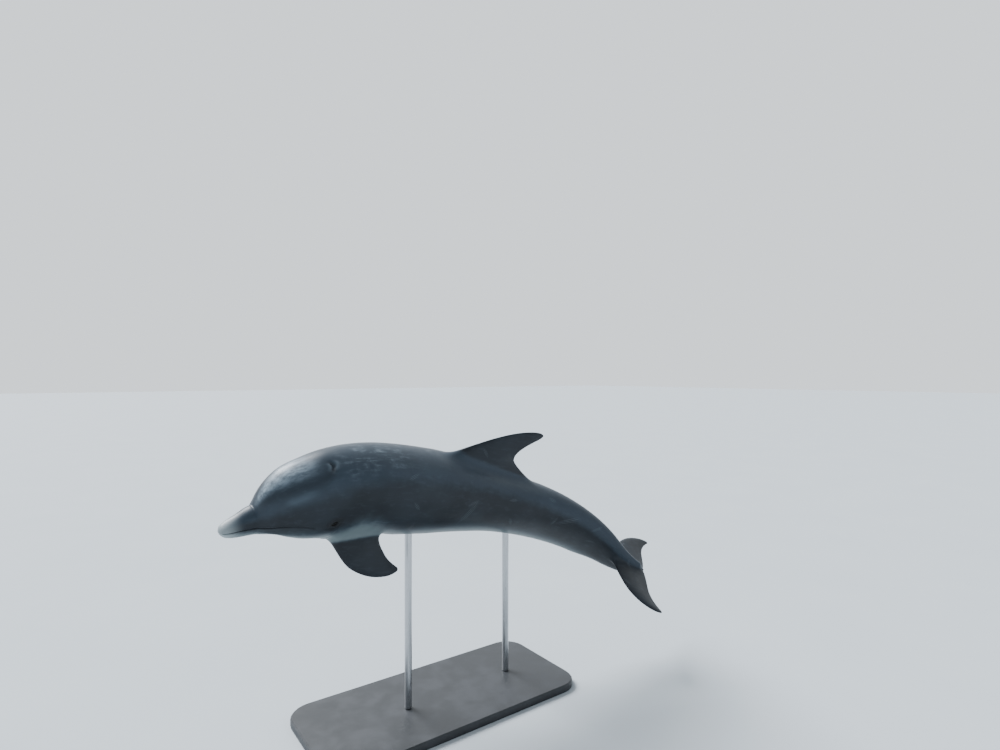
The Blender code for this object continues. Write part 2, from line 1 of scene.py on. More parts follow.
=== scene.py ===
# %% [markdown]
# # A life-size bottlenose dolphin on a display stand
#
# The real thing is a still model, 2.35 m long: a dolphin gliding in a slow turn to its left, with its
# back banked over and its tail bent down, held up by two steel rods on a flat painted base. This
# lesson gives it one continuous skin, with fins that flow out of the body, a mouth line, eyelids and
# a blowhole, then eyes, and finishes for the stand.
#
# It begins by loading the solid model that the looks are built around. Nothing in that model moves.

# %% Load the solid model
import json
import math

import bmesh
import bpy
import numpy as np
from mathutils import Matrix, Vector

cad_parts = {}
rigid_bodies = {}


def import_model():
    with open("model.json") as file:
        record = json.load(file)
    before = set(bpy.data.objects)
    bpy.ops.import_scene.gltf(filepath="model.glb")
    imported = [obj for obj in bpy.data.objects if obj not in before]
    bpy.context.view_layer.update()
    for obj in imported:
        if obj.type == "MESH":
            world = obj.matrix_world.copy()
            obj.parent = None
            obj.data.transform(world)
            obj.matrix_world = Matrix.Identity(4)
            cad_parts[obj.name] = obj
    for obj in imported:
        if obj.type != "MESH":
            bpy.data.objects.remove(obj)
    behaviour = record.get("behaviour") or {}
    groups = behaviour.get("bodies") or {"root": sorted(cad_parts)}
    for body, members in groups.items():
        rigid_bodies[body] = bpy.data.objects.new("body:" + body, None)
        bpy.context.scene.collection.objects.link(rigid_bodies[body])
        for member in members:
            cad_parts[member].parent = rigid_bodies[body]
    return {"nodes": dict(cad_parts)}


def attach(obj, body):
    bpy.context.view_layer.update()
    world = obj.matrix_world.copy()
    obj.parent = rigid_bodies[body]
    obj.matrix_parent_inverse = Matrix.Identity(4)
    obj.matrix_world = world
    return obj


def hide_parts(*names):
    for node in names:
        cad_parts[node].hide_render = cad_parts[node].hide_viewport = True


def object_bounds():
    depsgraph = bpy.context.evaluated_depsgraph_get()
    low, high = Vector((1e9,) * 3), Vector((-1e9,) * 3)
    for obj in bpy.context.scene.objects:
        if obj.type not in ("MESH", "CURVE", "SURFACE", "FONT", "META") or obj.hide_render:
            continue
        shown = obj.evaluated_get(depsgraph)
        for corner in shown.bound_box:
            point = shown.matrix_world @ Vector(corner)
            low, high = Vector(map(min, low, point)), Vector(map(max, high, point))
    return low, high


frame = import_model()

solid_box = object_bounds()
print("solid parts:", len(frame["nodes"]), "box:", [tuple(round(v, 3) for v in c) for c in solid_box])

# %% [markdown]
# ## Two small helpers
#
# Paint and skin colours are easiest to think of as the hex codes a colour picker shows. Those codes
# are in sRGB, but Blender's shaders add light in linear units, so one function turns one into the
# other. A second function adds a shader node together with its settings and its links, which keeps
# each material short enough to read like a recipe.

# %% Colours
def linear(code):
    """An sRGB hex code as linear red, green, blue and alpha."""
    parts = [int(code[k:k + 2], 16) / 255 for k in (1, 3, 5)]
    parts = [c / 12.92 if c <= 0.04045 else ((c + 0.055) / 1.055) ** 2.4 for c in parts]
    return (*parts, 1.0)


print("slate grey in linear light:", [round(c, 3) for c in linear("#2b3640")])


# %% Shader nodes
def add_node(tree, kind, inputs=None, **settings):
    """One node. Settings are its own options; inputs are numbers, colours, sockets or whole nodes."""
    made = tree.nodes.new(kind)
    for name, value in settings.items():
        setattr(made, name, value)
    for key, value in (inputs or {}).items():
        if isinstance(value, bpy.types.Node):
            value = next(socket for socket in value.outputs if socket.enabled)
        if isinstance(value, bpy.types.NodeSocket):
            tree.links.new(value, made.inputs[key])
        else:
            made.inputs[key].default_value = value
    return made


print("helpers ready:", linear.__name__, add_node.__name__)

# %% [markdown]
# ## The sizes of the body
#
# A dolphin is a smooth egg-sectioned body. It is enough to say, at a few stations along it, how high
# the back is, how low the belly is and how wide it is. All of them are fractions of the body length,
# so the whole animal scales with one number. The beak is a separate narrow form with stations of its
# own, because on the real animal it meets the rounded melon at a crease.

# %% Stations of the body: place, top, bottom, half width
MM = 0.001
BODY_LENGTH = 2.35

BODY_STATIONS = {
    "face base": (0.050, -0.031, -0.047, 0.010),
    "melon foot": (0.059, 0.002, -0.0495, 0.0250),
    "melon front": (0.074, 0.0290, -0.0500, 0.0380),
    "melon brow": (0.098, 0.0495, -0.0610, 0.0505),
    "forehead": (0.128, 0.0600, -0.0725, 0.0595),
    "eye": (0.158, 0.0700, -0.0775, 0.0645),
    "nape": (0.200, 0.0780, -0.0810, 0.069),
    "shoulder": (0.250, 0.0825, -0.0840, 0.071),
    "chest": (0.310, 0.084, -0.0855, 0.072),
    "girth": (0.380, 0.084, -0.0825, 0.071),
    "fin front": (0.450, 0.078, -0.074, 0.068),
    "fin rear": (0.570, 0.065, -0.064, 0.057),
    "loin": (0.700, 0.057, -0.065, 0.038),
    "stock": (0.800, 0.046, -0.0615, 0.025),
    "stock rear": (0.880, 0.034, -0.0425, 0.0165),
    "fluke front": (0.930, 0.026, -0.027, 0.0125),
    "fluke middle": (0.970, 0.015, -0.015, 0.0085),
    "tail end": (1.000, 0.002, -0.002, 0.0015),
}
TOP, BOTTOM, HALF_WIDTH = 1, 2, 3
girth = BODY_STATIONS["girth"]
print("girth height mm:", round((girth[TOP] - girth[BOTTOM]) * BODY_LENGTH / MM))

# %% Stations of the beak
BEAK_STATIONS = {
    "tip": (0.000, -0.0398, -0.0402, 0.0003),
    "tip round": (0.003, -0.0345, -0.0460, 0.0070),
    "tip full": (0.010, -0.0300, -0.0520, 0.0120),
    "beak middle": (0.030, -0.0215, -0.0560, 0.0168),
    "beak base": (0.052, -0.0120, -0.0555, 0.0215),
    "under melon": (0.080, -0.0210, -0.0600, 0.0280),
    "beak end": (0.120, -0.0320, -0.0520, 0.0120),
}
beak_base = BEAK_STATIONS["beak base"]
print("beak width mm:", round(2 * beak_base[HALF_WIDTH] * BODY_LENGTH / MM))

# %% [markdown]
# ## From stations to a surface
#
# Straight lines between stations would leave corners, and an ordinary spline would bulge past the
# numbers. This curve keeps to the numbers and never overshoots, because its slope at each station is
# held between the slopes of the two spans that meet there.

# %% A curve through the stations
def smooth_curve(place, places, values):
    """A smooth curve through the values that never rises or falls beyond them."""
    places = np.asarray(places, float)
    values = np.asarray(values, float)
    step = np.diff(places)
    slope = np.diff(values) / step
    tangent = np.concatenate(([slope[0]], np.zeros(len(slope) - 1), [slope[-1]]))
    for i in range(1, len(slope)):
        if slope[i - 1] * slope[i] > 0:
            before = 2 * step[i] + step[i - 1]
            after = step[i] + 2 * step[i - 1]
            tangent[i] = (before + after) / (before / slope[i - 1] + after / slope[i])
    x = np.clip(place, places[0], places[-1])
    k = np.clip(np.searchsorted(places, x, side="right") - 1, 0, len(step) - 1)
    t = (x - places[k]) / step[k]
    start = (2 * t**3 - 3 * t**2 + 1) * values[k] + (t**3 - 2 * t**2 + t) * step[k] * tangent[k]
    end = (3 * t**2 - 2 * t**3) * values[k + 1] + (t**3 - t**2) * step[k] * tangent[k + 1]
    return start + end


def station_curve(stations, column, place):
    """One column of a table of stations, read anywhere along the body."""
    rows = list(stations.values())
    return smooth_curve(place, [row[0] for row in rows], [row[column] for row in rows])


half_way = float(station_curve(BODY_STATIONS, TOP, 0.5))
print("back above the axis half way along, mm:", round(half_way * BODY_LENGTH / MM))

# %% [markdown]
# Soft tissue has no hard edges, so nearly everything here starts, stops or fades softly. Three small
# functions do it all: a soft step from one value to another, a soft bump, and the larger of two
# values with the corner between them rounded off.

# %% Soft steps and soft bumps
def ease(low, high, value):
    """0 at low, 1 at high, and smooth between. Low may be the larger, to fade out."""
    t = np.clip((value - low) / (high - low), 0.0, 1.0)
    return t * t * (3 - 2 * t)


def bell(value, width):
    """1 where the value is 0, fading on both sides."""
    return np.exp(-((value / width) ** 2))


def soft_larger(a, b, softness):
    """The larger of two values, rounded where they are nearly equal."""
    share = np.clip(0.5 + 0.5 * (a - b) / softness, 0.0, 1.0)
    return b * (1 - share) + a * share + softness * share * (1 - share)


print("a quarter of the way up a soft step:", round(float(ease(0, 1, 0.25)), 3))

# %% [markdown]
# Sections are drawn round a middle line, which runs low in the beak and has risen to the middle of
# the body by the chest. The head and the beak are both ovals, a little squarer than an ellipse. They
# are joined by taking the larger radius in each direction, and the softness of that join is the
# crease where the beak meets the melon. A low swelling is added where the flippers' muscles lie.

# %% One oval form
BEAK_LEVEL = -0.040
BEAK_LEVEL_END = 0.28
BODY_SQUARENESS = 2.05
BEAK_SQUARENESS = 2.25
LEAST_SIZE = 1e-5


def middle_level(place):
    """Height of the middle line above the spine, as a fraction of the body length."""
    return BEAK_LEVEL * (1 - ease(0.05, BEAK_LEVEL_END, place))


def oval_radius(stations, squareness, place, angle):
    """Radius of one oval. The angle is 0 on the animal's left and a quarter turn on top."""
    across, up = np.cos(angle), np.sin(angle)
    level = middle_level(place)
    above = station_curve(stations, TOP, place) - level
    below = level - station_curve(stations, BOTTOM, place)
    height = np.maximum(np.where(up >= 0, above, below), LEAST_SIZE)
    width = np.maximum(station_curve(stations, HALF_WIDTH, place), LEAST_SIZE)
    powers = (np.abs(across) / width) ** squareness + (np.abs(up) / height) ** squareness
    return powers ** (-1 / squareness)


eye_width = oval_radius(BODY_STATIONS, BODY_SQUARENESS, 0.1645, 0.0)
print("half width of the head at the eye mm:", round(float(eye_width) * BODY_LENGTH / MM, 1))

# %% Head and beak joined
CREASE_WIDTH = 0.010
CREASE_GROWN = 0.04
SHOULDER_SWELL = 0.0085
SHOULDER_PLACE = 0.196
SHOULDER_LENGTH = 0.030
SHOULDER_ANGLE = -64.0
SHOULDER_SPREAD = 26.0


def section_radius(place, angle):
    """Distance from the middle line to the smooth skin, as a fraction of the body length."""
    head = oval_radius(BODY_STATIONS, BODY_SQUARENESS, place, angle)
    head = np.where(place < BODY_STATIONS["face base"][0], 0.0, head)
    beak = oval_radius(BEAK_STATIONS, BEAK_SQUARENESS, place, angle)
    beak = np.where(place > BEAK_STATIONS["beak end"][0], 0.0, beak)
    side_angle = np.degrees(np.arctan2(np.sin(angle), np.abs(np.cos(angle))))
    swell = SHOULDER_SWELL * np.exp(-((place - SHOULDER_PLACE) / SHOULDER_LENGTH) ** 2
                                    - ((side_angle - SHOULDER_ANGLE) / SHOULDER_SPREAD) ** 2)
    return soft_larger(head, beak, CREASE_WIDTH * ease(0.0, CREASE_GROWN, place) + 1e-6) + swell


crown = float(section_radius(0.158, math.pi / 2))
print("radius up to the crown mm:", round(crown * BODY_LENGTH / MM, 1))

# %% [markdown]
# ## The spine, bent and straight
#
# The pose is only a bent middle line: the skin's points are placed from it. The line starts at the
# snout and turns a little at each step, down and to the left, by amounts given at a few places. The
# body is banked over to its left and banks further toward the tail.
#
# Building the same skin once more on a straight line gives every point a second address, its place
# on an unbent animal. The markings are drawn in that address, so that they keep their shape and size
# however the body bends.

# %% The pose, with bends in degrees per body length
SPINE_PLACES = (0.0, 0.12, 0.22, 0.35, 0.50, 0.64, 0.76, 0.86, 0.92, 1.0)
DOWN_BEND = (64.0, 64.0, 64.0, -6.0, -6.0, 23.0, 82.0, 144.0, -405.0, -405.0)
TURN_PLACES = (0.0, 0.25, 0.60, 1.0)
LEFT_BEND = (26.0, 26.0, 71.0, 71.0)
HEAD_HEADING = 8.0
HEAD_PITCH = -9.0
BANK = 27.5
BANK_GAIN = 15.0
BANK_GAIN_START = 0.40
TRUNK_PLACE = 0.42
SNOUT_HEIGHT = 1.03
SPINE_STEPS = 400
print("bank in degrees: head", BANK, "tail", BANK + BANK_GAIN)


# %% Follow the bend from the snout to the tail
def turned(one, other, angle):
    """Two directions at right angles to each other, both turned by an angle in radians."""
    return (one * math.cos(angle) + other * math.sin(angle),
            other * math.cos(angle) - one * math.sin(angle))


def bent_spine():
    """Places, and for each a row of twelve numbers: a point, and which way tail, up and left are."""
    step = 1.0 / SPINE_STEPS
    spots = np.linspace(0.0, 1.0, SPINE_STEPS + 1)
    down = np.radians(np.interp(spots, SPINE_PLACES, DOWN_BEND)) * step
    turn = np.radians(np.interp(spots, TURN_PLACES, LEFT_BEND)) * step
    heading, pitch = math.radians(HEAD_HEADING), math.radians(HEAD_PITCH)
    tail = np.array([math.cos(heading) * math.cos(pitch), math.sin(heading) * math.cos(pitch),
                     -math.sin(pitch)])
    left = np.array([math.sin(heading), -math.cos(heading), 0.0])
    up, left = turned(np.cross(left, tail), left, math.radians(BANK))
    point = np.zeros(3)
    rows = []
    for i in range(SPINE_STEPS + 1):
        gain = math.radians(BANK_GAIN) * ease(BANK_GAIN_START, 1.0, spots[i])
        rows.append(np.concatenate((point, tail, *turned(up, left, gain))))
        point = point + BODY_LENGTH * step * tail
        tail, up = turned(tail, up, -down[i])
        tail, left = turned(tail, left, turn[i])
    rows = np.array(rows)
    over_stand = rows[int(TRUNK_PLACE * SPINE_STEPS), 0:3]
    rows[:, 0:3] -= np.array([over_stand[0], over_stand[1], -SNOUT_HEIGHT])
    return spots, rows


BENT = bent_spine()
print("snout tip at", np.round(BENT[1][0, 0:3], 3), "tail end at", np.round(BENT[1][-1, 0:3], 3))


# %% The straight spine
def straight_spine():
    """The same table for an unbent animal: tailward is +X, up is +Z and left is -Y."""
    spots = np.linspace(0.0, 1.0, SPINE_STEPS + 1)
    rows = np.zeros((SPINE_STEPS + 1, 12))
    rows[:, 0] = spots * BODY_LENGTH
    rows[:, 3:12] = (1, 0, 0, 0, 0, 1, 0, -1, 0)
    return spots, rows


STRAIGHT = straight_spine()
print("straight length m:", STRAIGHT[1][-1, 0])


# %% Points on a spine
def posed(spine, place, across, level):
    """A point given by its place along the body, across to the left and up, all as fractions."""
    place, across, level = np.broadcast_arrays(place, across, level)
    flat = place.ravel().astype(float)
    table = np.stack([np.interp(flat, spine[0], spine[1][:, c]) for c in range(12)], axis=1)
    offset = across.reshape(-1, 1) * table[:, 9:12] + level.reshape(-1, 1) * table[:, 6:9]
    return (table[:, 0:3] + BODY_LENGTH * offset).reshape(place.shape + (3,))


def plain_skin(spine, place, angle):
    """The smooth body without its small features."""
    place, angle = np.broadcast_arrays(np.asarray(place, float), np.asarray(angle, float))
    radius = section_radius(place, angle)
    return posed(spine, place, radius * np.cos(angle), middle_level(place) + radius * np.sin(angle))


print("top of the back at", np.round(plain_skin(BENT, TRUNK_PLACE, math.pi / 2), 3))

# %% [markdown]
# ## Where the small features are
#
# A bottlenose dolphin's face is quiet. The mouth runs back from the beak tip, lifts over the cheek
# and ends just below and ahead of the eye, with a narrow lip above and below the line. Each feature
# is a height added to or taken from the smooth skin, in real millimetres, so that it follows the
# body wherever the body goes.

# %% Mouth line
MOUTH_LINE = ((-0.010, -0.0400), (0.012, -0.0385), (0.032, -0.0365), (0.052, -0.0350),
              (0.070, -0.0300), (0.090, -0.0245), (0.112, -0.0240), (0.1365, -0.0290))
MOUTH_START = 0.001
MOUTH_END = 0.1365
MOUTH_DEPTH = 3.2 * MM
MOUTH_WIDTH = 1.7 * MM
LIP_SWELL = 1.1 * MM
LIP_DISTANCE = 5.0 * MM
LIP_WIDTH = 3 * MM
CORNER_DEPTH = 1.2 * MM
CORNER_SIZE = 9 * MM


def curve_of(pairs, place):
    """A smooth curve through pairs of place and value."""
    return smooth_curve(place, [p for p, _ in pairs], [v for _, v in pairs])


def mouth_shape(place, level):
    """Metres outward, and how much of the mouth line, painted dark as shade, is here from 0 to 1."""
    above = (level - curve_of(MOUTH_LINE, place)) * BODY_LENGTH
    present = 1 - ease(MOUTH_END - 0.010, MOUTH_END, place)
    present = present * ease(MOUTH_START, MOUTH_START + 0.005, place)
    line = bell(above, MOUTH_WIDTH) * present
    lips = (bell(above - LIP_DISTANCE, LIP_WIDTH) + bell(above + LIP_DISTANCE, LIP_WIDTH)) * present
    corner = bell((place - MOUTH_END) * BODY_LENGTH, CORNER_SIZE) * bell(above, CORNER_SIZE)
    return LIP_SWELL * lips - MOUTH_DEPTH * line - CORNER_DEPTH * corner, line


print("mouth length mm:", round((MOUTH_END - MOUTH_START) * BODY_LENGTH / MM))

# %% [markdown]
# The eye lies low on the side. Its opening is a long rounded almond, tilted to lie along the end of
# the mouth. Behind the opening the skin passes under the eyeball, and round it the lids are thick and
# soft, with a fold above and a fainter one below.

# %% Size and place of the eye
EYE_PLACE = 0.1645
EYE_RADIUS = 15.0 * MM
EYE_PROUD = 2.2 * MM
EYE_TILT = math.radians(32.0)
EYE_REACH = 60 * MM
OPENING_HALF_LENGTH = 13.0 * MM
OPENING_HALF_HEIGHT = 8.0 * MM
OPENING_ROUNDNESS = 1.8
LID_THICKNESS = 2.0 * MM
MOUND_HEIGHT = 2.4 * MM
MOUND_WIDTH = 30 * MM
SOCKET_GAP = 0.8 * MM
SOCKET_DEPTH = 4.0 * MM
# Each fold: its depth, then how far out it lies and how wide it is, where the opening's edge is 1.
UPPER_FOLD = (1.3 * MM, 2.2, 0.40)
LOWER_FOLD = (0.6 * MM, 2.1, 0.45)
LIDS_END = 2.6
print("eye opening mm:", OPENING_HALF_LENGTH * 2 / MM, "x", OPENING_HALF_HEIGHT * 2 / MM)


# %% Eyelids
def eye_shape(place, level):
    """Metres outward round one eye, and the painted shade at the lid margin from 0 to 1."""
    back = (place - EYE_PLACE) * BODY_LENGTH
    rise = (level - middle_level(EYE_PLACE)) * BODY_LENGTH
    along, over = turned(back, rise, EYE_TILT)
    away = np.hypot(back, rise)
    # q is 1 on the edge of the opening, less inside it and more outside.
    q = ((np.abs(along) / OPENING_HALF_LENGTH) ** OPENING_ROUNDNESS
         + (np.abs(over) / OPENING_HALF_HEIGHT) ** OPENING_ROUNDNESS) ** (1 / OPENING_ROUNDNESS)
    ball = EYE_PROUD - EYE_RADIUS + np.sqrt(np.maximum(EYE_RADIUS**2 - away**2, 0.0))
    behind = ball - SOCKET_GAP - SOCKET_DEPTH * ease(0.0, 0.6, 1 - q)
    lids = np.maximum(ball + LID_THICKNESS, 0.0) * ease(LIDS_END, 1.0, q)
    fold = -UPPER_FOLD[0] * bell(q - UPPER_FOLD[1], UPPER_FOLD[2]) * ease(-2 * MM, 9 * MM, over)
    fold = fold - LOWER_FOLD[0] * bell(q - LOWER_FOLD[1], LOWER_FOLD[2]) * ease(2 * MM, -7 * MM, over)
    outside = np.maximum(lids, MOUND_HEIGHT * bell(away, MOUND_WIDTH)) + fold
    height = behind + (outside - behind) * ease(0.94, 1.12, q)
    near = away < EYE_REACH
    return np.where(near, height, 0.0), np.where(near, bell(q - 1.05, 0.22), 0.0)


lid_height = eye_shape(EYE_PLACE + 0.007, middle_level(EYE_PLACE))[0]
print("lid behind the eye stands out mm:", round(float(lid_height) / MM, 1))

# %% [markdown]
# The blowhole is a crescent in a shallow dish on top of the head, with its ends pointing forward. As
# in all toothed whales it lies a little to the left. It has a soft lip ahead of it and a fuller one
# behind, and a low fold of skin runs back from one end of it.

# %% Size and place of the blowhole
BLOWHOLE_PLACE = 0.158
BLOWHOLE_ANGLE = math.radians(75.0)
BLOWHOLE_HALF_WIDTH = 20 * MM
BLOWHOLE_OPENING = 8.0 * MM
BLOWHOLE_DEPTH = 7.0 * MM
BLOWHOLE_CURVE = 10 * MM
BLOWHOLE_REACH = 130 * MM
DISH_DEPTH = 4.5 * MM
DISH_WIDTH = 34 * MM
CROWN_RADIUS = 0.085 * BODY_LENGTH
CROWN_STRETCH = 1.15
# Each lip: its height, its distance from the slit and its width.
FRONT_LIP = (2.2 * MM, 12 * MM, 8 * MM)
REAR_LIP = (3.0 * MM, 13 * MM, 9 * MM)
# The fold behind: its height and width, how far aside it starts and how much it slants.
REAR_FOLD = (2.4 * MM, 9 * MM, 26 * MM, 0.25)
print("blowhole width mm:", 2 * BLOWHOLE_HALF_WIDTH / MM)


# %% Blowhole and its lips
def blowhole_shape(place, angle):
    """Metres outward round the blowhole, the slit's painted shade and the lips' painted highlight."""
    back = (place - BLOWHOLE_PLACE) * BODY_LENGTH
    side = (angle - BLOWHOLE_ANGLE) * CROWN_RADIUS * CROWN_STRETCH
    reach = np.abs(side) / BLOWHOLE_HALF_WIDTH
    crescent = back + BLOWHOLE_CURVE * reach**2 - 3 * MM
    slit = bell(crescent, BLOWHOLE_OPENING) * ease(1.15, 0.8, reach)
    front_lip = bell(crescent + FRONT_LIP[1], FRONT_LIP[2]) * ease(1.2, 0.3, reach)
    rear_lip = bell(crescent - REAR_LIP[1], REAR_LIP[2]) * ease(1.5, 0.4, reach)
    fold = bell(side + REAR_FOLD[2] - REAR_FOLD[3] * (back - 20 * MM), REAR_FOLD[1])
    fold = fold * ease(0.0, 25 * MM, back) * ease(105 * MM, 60 * MM, back)
    dish = bell(np.hypot(back, side), DISH_WIDTH)
    height = (FRONT_LIP[0] * front_lip + REAR_LIP[0] * rear_lip + REAR_FOLD[0] * fold
              - DISH_DEPTH * dish - BLOWHOLE_DEPTH * slit)
    near = np.hypot(back, side) < BLOWHOLE_REACH
    return tuple(np.where(near, value, 0.0) for value in (height, slit, front_lip + rear_lip))


slit_height = blowhole_shape(BLOWHOLE_PLACE, BLOWHOLE_ANGLE)[0]
print("depth at the blowhole mm:", round(-float(slit_height) / MM, 1))

# %% [markdown]
# ## A grid that is fine only where it needs to be
#
# One even grid fine enough for eyelids would take millions of faces. Here the lines crowd together
# round the eyes, mouth and blowhole and spread out over the plain trunk. Some lines fall exactly on
# the edges of each fin's root, so that the fins can be sewn on corner to corner.

# %% Grid lines along the body and round it: from, to, how many
RING_SPANS = ((0.0006, 0.006, 8), (0.006, 0.050, 32), (0.050, 0.066, 18), (0.066, 0.140, 58),
              (0.140, 0.155, 14), (0.155, 0.174, 34), (0.174, 0.179, 4), (0.179, 0.281, 42),
              (0.281, 0.400, 26), (0.400, 0.620, 52), (0.620, 0.902, 64), (0.902, 0.986, 36),
              (0.986, 0.994, 6))
HALF_ANGLES = ((-90, -60, 9), (-60, -40, 6), (-40, -30, 4), (-30, -12, 7), (-12, -6, 6), (-6, 6, 22),
               (6, 24, 18), (24, 30, 3), (30, 72, 12), (72, 80, 5), (80, 90, 7))


def lines_from(spans):
    """Every grid line in a row of spans, each span evenly divided."""
    lines = [np.linspace(a, b, n, endpoint=False) for a, b, n in spans]
    return np.concatenate(lines + [[spans[-1][1]]])


RINGS = lines_from(RING_SPANS)
left_side = lines_from(HALF_ANGLES)
TURNS = np.radians(np.concatenate((left_side, 180 - left_side[-2:0:-1])))
print("rings:", len(RINGS), "points round each:", len(TURNS), "quads:", len(RINGS) * len(TURNS))

# %% [markdown]
# The three features are now added up at every crossing of the grid, with one more: the shallow fold
# that crosses the throat just behind the head, where a bottlenose dolphin can bend its neck.

# %% Height of the features everywhere on the grid
NECK_FOLD_PLACE = 0.181
NECK_FOLD_SLANT = 0.02
NECK_FOLD_WIDTH = 9 * MM
NECK_FOLD_DEPTH = 1.6 * MM


def skin_features(place, angle):
    """Metres outward and the masks of the painted details, for any places and angles."""
    level = middle_level(place) + section_radius(place, angle) * np.sin(angle)
    mouth, mouth_line = mouth_shape(place, level)
    on_side = ease(0.2, 0.6, np.abs(np.cos(angle)))
    eye, lid_margin_shade = eye_shape(place, level)
    blow, slit, lips = blowhole_shape(place, angle)
    fold_at = (place - NECK_FOLD_PLACE - NECK_FOLD_SLANT * np.sin(angle)) * BODY_LENGTH
    neck_fold = bell(fold_at, NECK_FOLD_WIDTH) * ease(0.35, -0.6, np.sin(angle))
    height = mouth + eye * on_side + blow - NECK_FOLD_DEPTH * neck_fold
    return height, {"groove_shade": np.maximum(0.7 * mouth_line, 0.6 * slit), "lid": lid_margin_shade * on_side,
                    "lips": lips}


grid_places, grid_turns = np.meshgrid(RINGS, TURNS, indexing="ij")
heights, _ = skin_features(grid_places, grid_turns)
print("features from", round(heights.min() / MM, 1), "to", round(heights.max() / MM, 1), "mm")

# %% [markdown]
# ## Fins
#
# Each fin is a foil: a rounded leading edge, a fine trailing edge, and an outline drawn by two smooth
# curves from root to tip. On the animal there is no joint to see, for the skin sweeps up from the
# body into the fin. So the fin starts at the edge of an opening in the body grid, leaves it along the
# body's own surface, and turns outward over a few centimetres.
#
# The root's place and angles are on the body. The edge curves are in metres: first along the body,
# then away from it. Only the left fins are written down, and the right ones are their mirror.

# %% The dorsal fin
DORSAL_FIN = {
    "root place": 0.490, "root angle": 90.0, "root span": (0.400, 0.620),
    "root angles": (80.0, 100.0), "root shift": -0.190, "lean": 0.0, "free from": 0.10,
    "leading edge": ((-0.043, -0.006), (0.118, 0.106), (0.253, 0.252), (0.437, 0.260)),
    "trailing edge": ((0.508, 0.015), (0.258, 0.054), (0.290, 0.108), (0.437, 0.260)),
    "thickness ratio": (0.105, 0.200), "edge thickness": 0.0030, "rings": 26,
}
print("dorsal fin height mm:", round(DORSAL_FIN["leading edge"][3][1] / MM))

# %% The flippers and the flukes
FLIPPER_LEFT = {
    "root place": 0.2365, "root angle": -50.0, "root span": (0.179, 0.281),
    "root angles": (-60.0, -40.0), "root shift": -0.098, "lean": 17.0, "free from": 0.10,
    "leading edge": ((-0.033, -0.008), (-0.018, 0.079), (0.118, 0.227), (0.298, 0.173)),
    "trailing edge": ((0.182, 0.002), (0.215, 0.093), (0.206, 0.108), (0.298, 0.173)),
    "thickness ratio": (0.150, 0.180), "edge thickness": 0.0028, "rings": 24,
}
FLUKE_LEFT = {
    "root place": 0.950, "root angle": 0.0, "root span": (0.902, 0.986),
    "root angles": (-30.0, 30.0), "root shift": -0.110, "lean": 0.0, "free from": 0.13,
    "leading edge": ((-0.010, -0.031), (0.009, 0.082), (0.049, 0.264), (0.240, 0.268)),
    "trailing edge": ((0.206, -0.033), (0.167, 0.097), (0.159, 0.187), (0.240, 0.268)),
    "thickness ratio": (0.120, 0.200), "edge thickness": 0.0026, "rings": 22,
}


def mirrored(shape):
    """The same fin on the animal's right."""
    low, high = shape["root angles"]
    return dict(shape, **{"root angle": 180.0 - shape["root angle"], "lean": -shape["lean"],
                          "root angles": (180.0 - high, 180.0 - low)})


FINS = {"dorsal fin": DORSAL_FIN,
        "left flipper": FLIPPER_LEFT, "right flipper": mirrored(FLIPPER_LEFT),
        "left fluke": FLUKE_LEFT, "right fluke": mirrored(FLUKE_LEFT)}
print("fins:", ", ".join(FINS))

# %% [markdown]
# Both edges would meet in a sharp point at the tip. A living fin's tip is rounded, so the corner is
# cut off near the tip. From there on each edge follows an arc that runs across to the other edge, and
# goes almost half way round it.

# %% Outline of a fin, with its tip rounded
TIP_ARC = 0.88
TIP_SHARE = 0.48


def bezier(control, t):
    """A point on the smooth curve that four control points draw."""
    a, b, c, d = [np.asarray(p, float) for p in control]
    return (1 - t) ** 3 * a + 3 * t * (1 - t) ** 2 * b + 3 * t**2 * (1 - t) * c + t**3 * d


def fin_edges(shape, t):
    """Leading and trailing edge at t, which runs from 0 at the root to 1 at the tip."""
    lead, trail = [bezier(shape[key], min(t, TIP_ARC)) for key in ("leading edge", "trailing edge")]
    if t <= TIP_ARC:
        return lead, trail
    corner = 0.5 * (np.asarray(shape["leading edge"][3]) + np.asarray(shape["trailing edge"][3]))
    u = TIP_SHARE * (t - TIP_ARC) / (1 - TIP_ARC)
    return ((1 - u) ** 2 * lead + 2 * u * (1 - u) * corner + u**2 * trail,
            (1 - u) ** 2 * trail + 2 * u * (1 - u) * corner + u**2 * lead)


for name in ("dorsal fin", "left flipper", "left fluke"):
    lead, trail = fin_edges(FINS[name], 0.5)
    print(name, "width half way up mm:", round(float(np.linalg.norm(trail - lead)) / MM))


# %% The foil across a fin
def foil_half_thickness(x):
    """The shape of a symmetrical wing section, from 0 at the front to 1 at the rear."""
    x = np.clip(x, 0.0, 1.0)
    return 5 * (0.2969 * np.sqrt(x) - 0.1260 * x - 0.3516 * x**2 + 0.2843 * x**3 - 0.1036 * x**4)


def fin_section(shape, t, turn):
    """Points round the foil at t: along the body, away from it and across the fin."""
    lead, trail = fin_edges(shape, t)
    chordwise = 0.5 * (1 - np.cos(turn))
    ratio = np.interp(t, (0.0, 1.0), shape["thickness ratio"])
    half = np.linalg.norm(trail - lead) * ratio * foil_half_thickness(chordwise)
    half = (half + shape["edge thickness"] * 0.5) * np.sqrt(np.abs(np.sin(turn)))
    flat = lead + chordwise[:, None] * (trail - lead)
    return np.column_stack((flat[:, 0] + shape["root shift"], flat[:, 1],
                            np.sign(np.sin(turn)) * half))


across_fin = fin_section(DORSAL_FIN, 0.5, np.linspace(0, 2 * np.pi, 60))[:, 2]
print("dorsal fin thickness half way up mm:", round(float(np.ptp(across_fin)) / MM, 1))


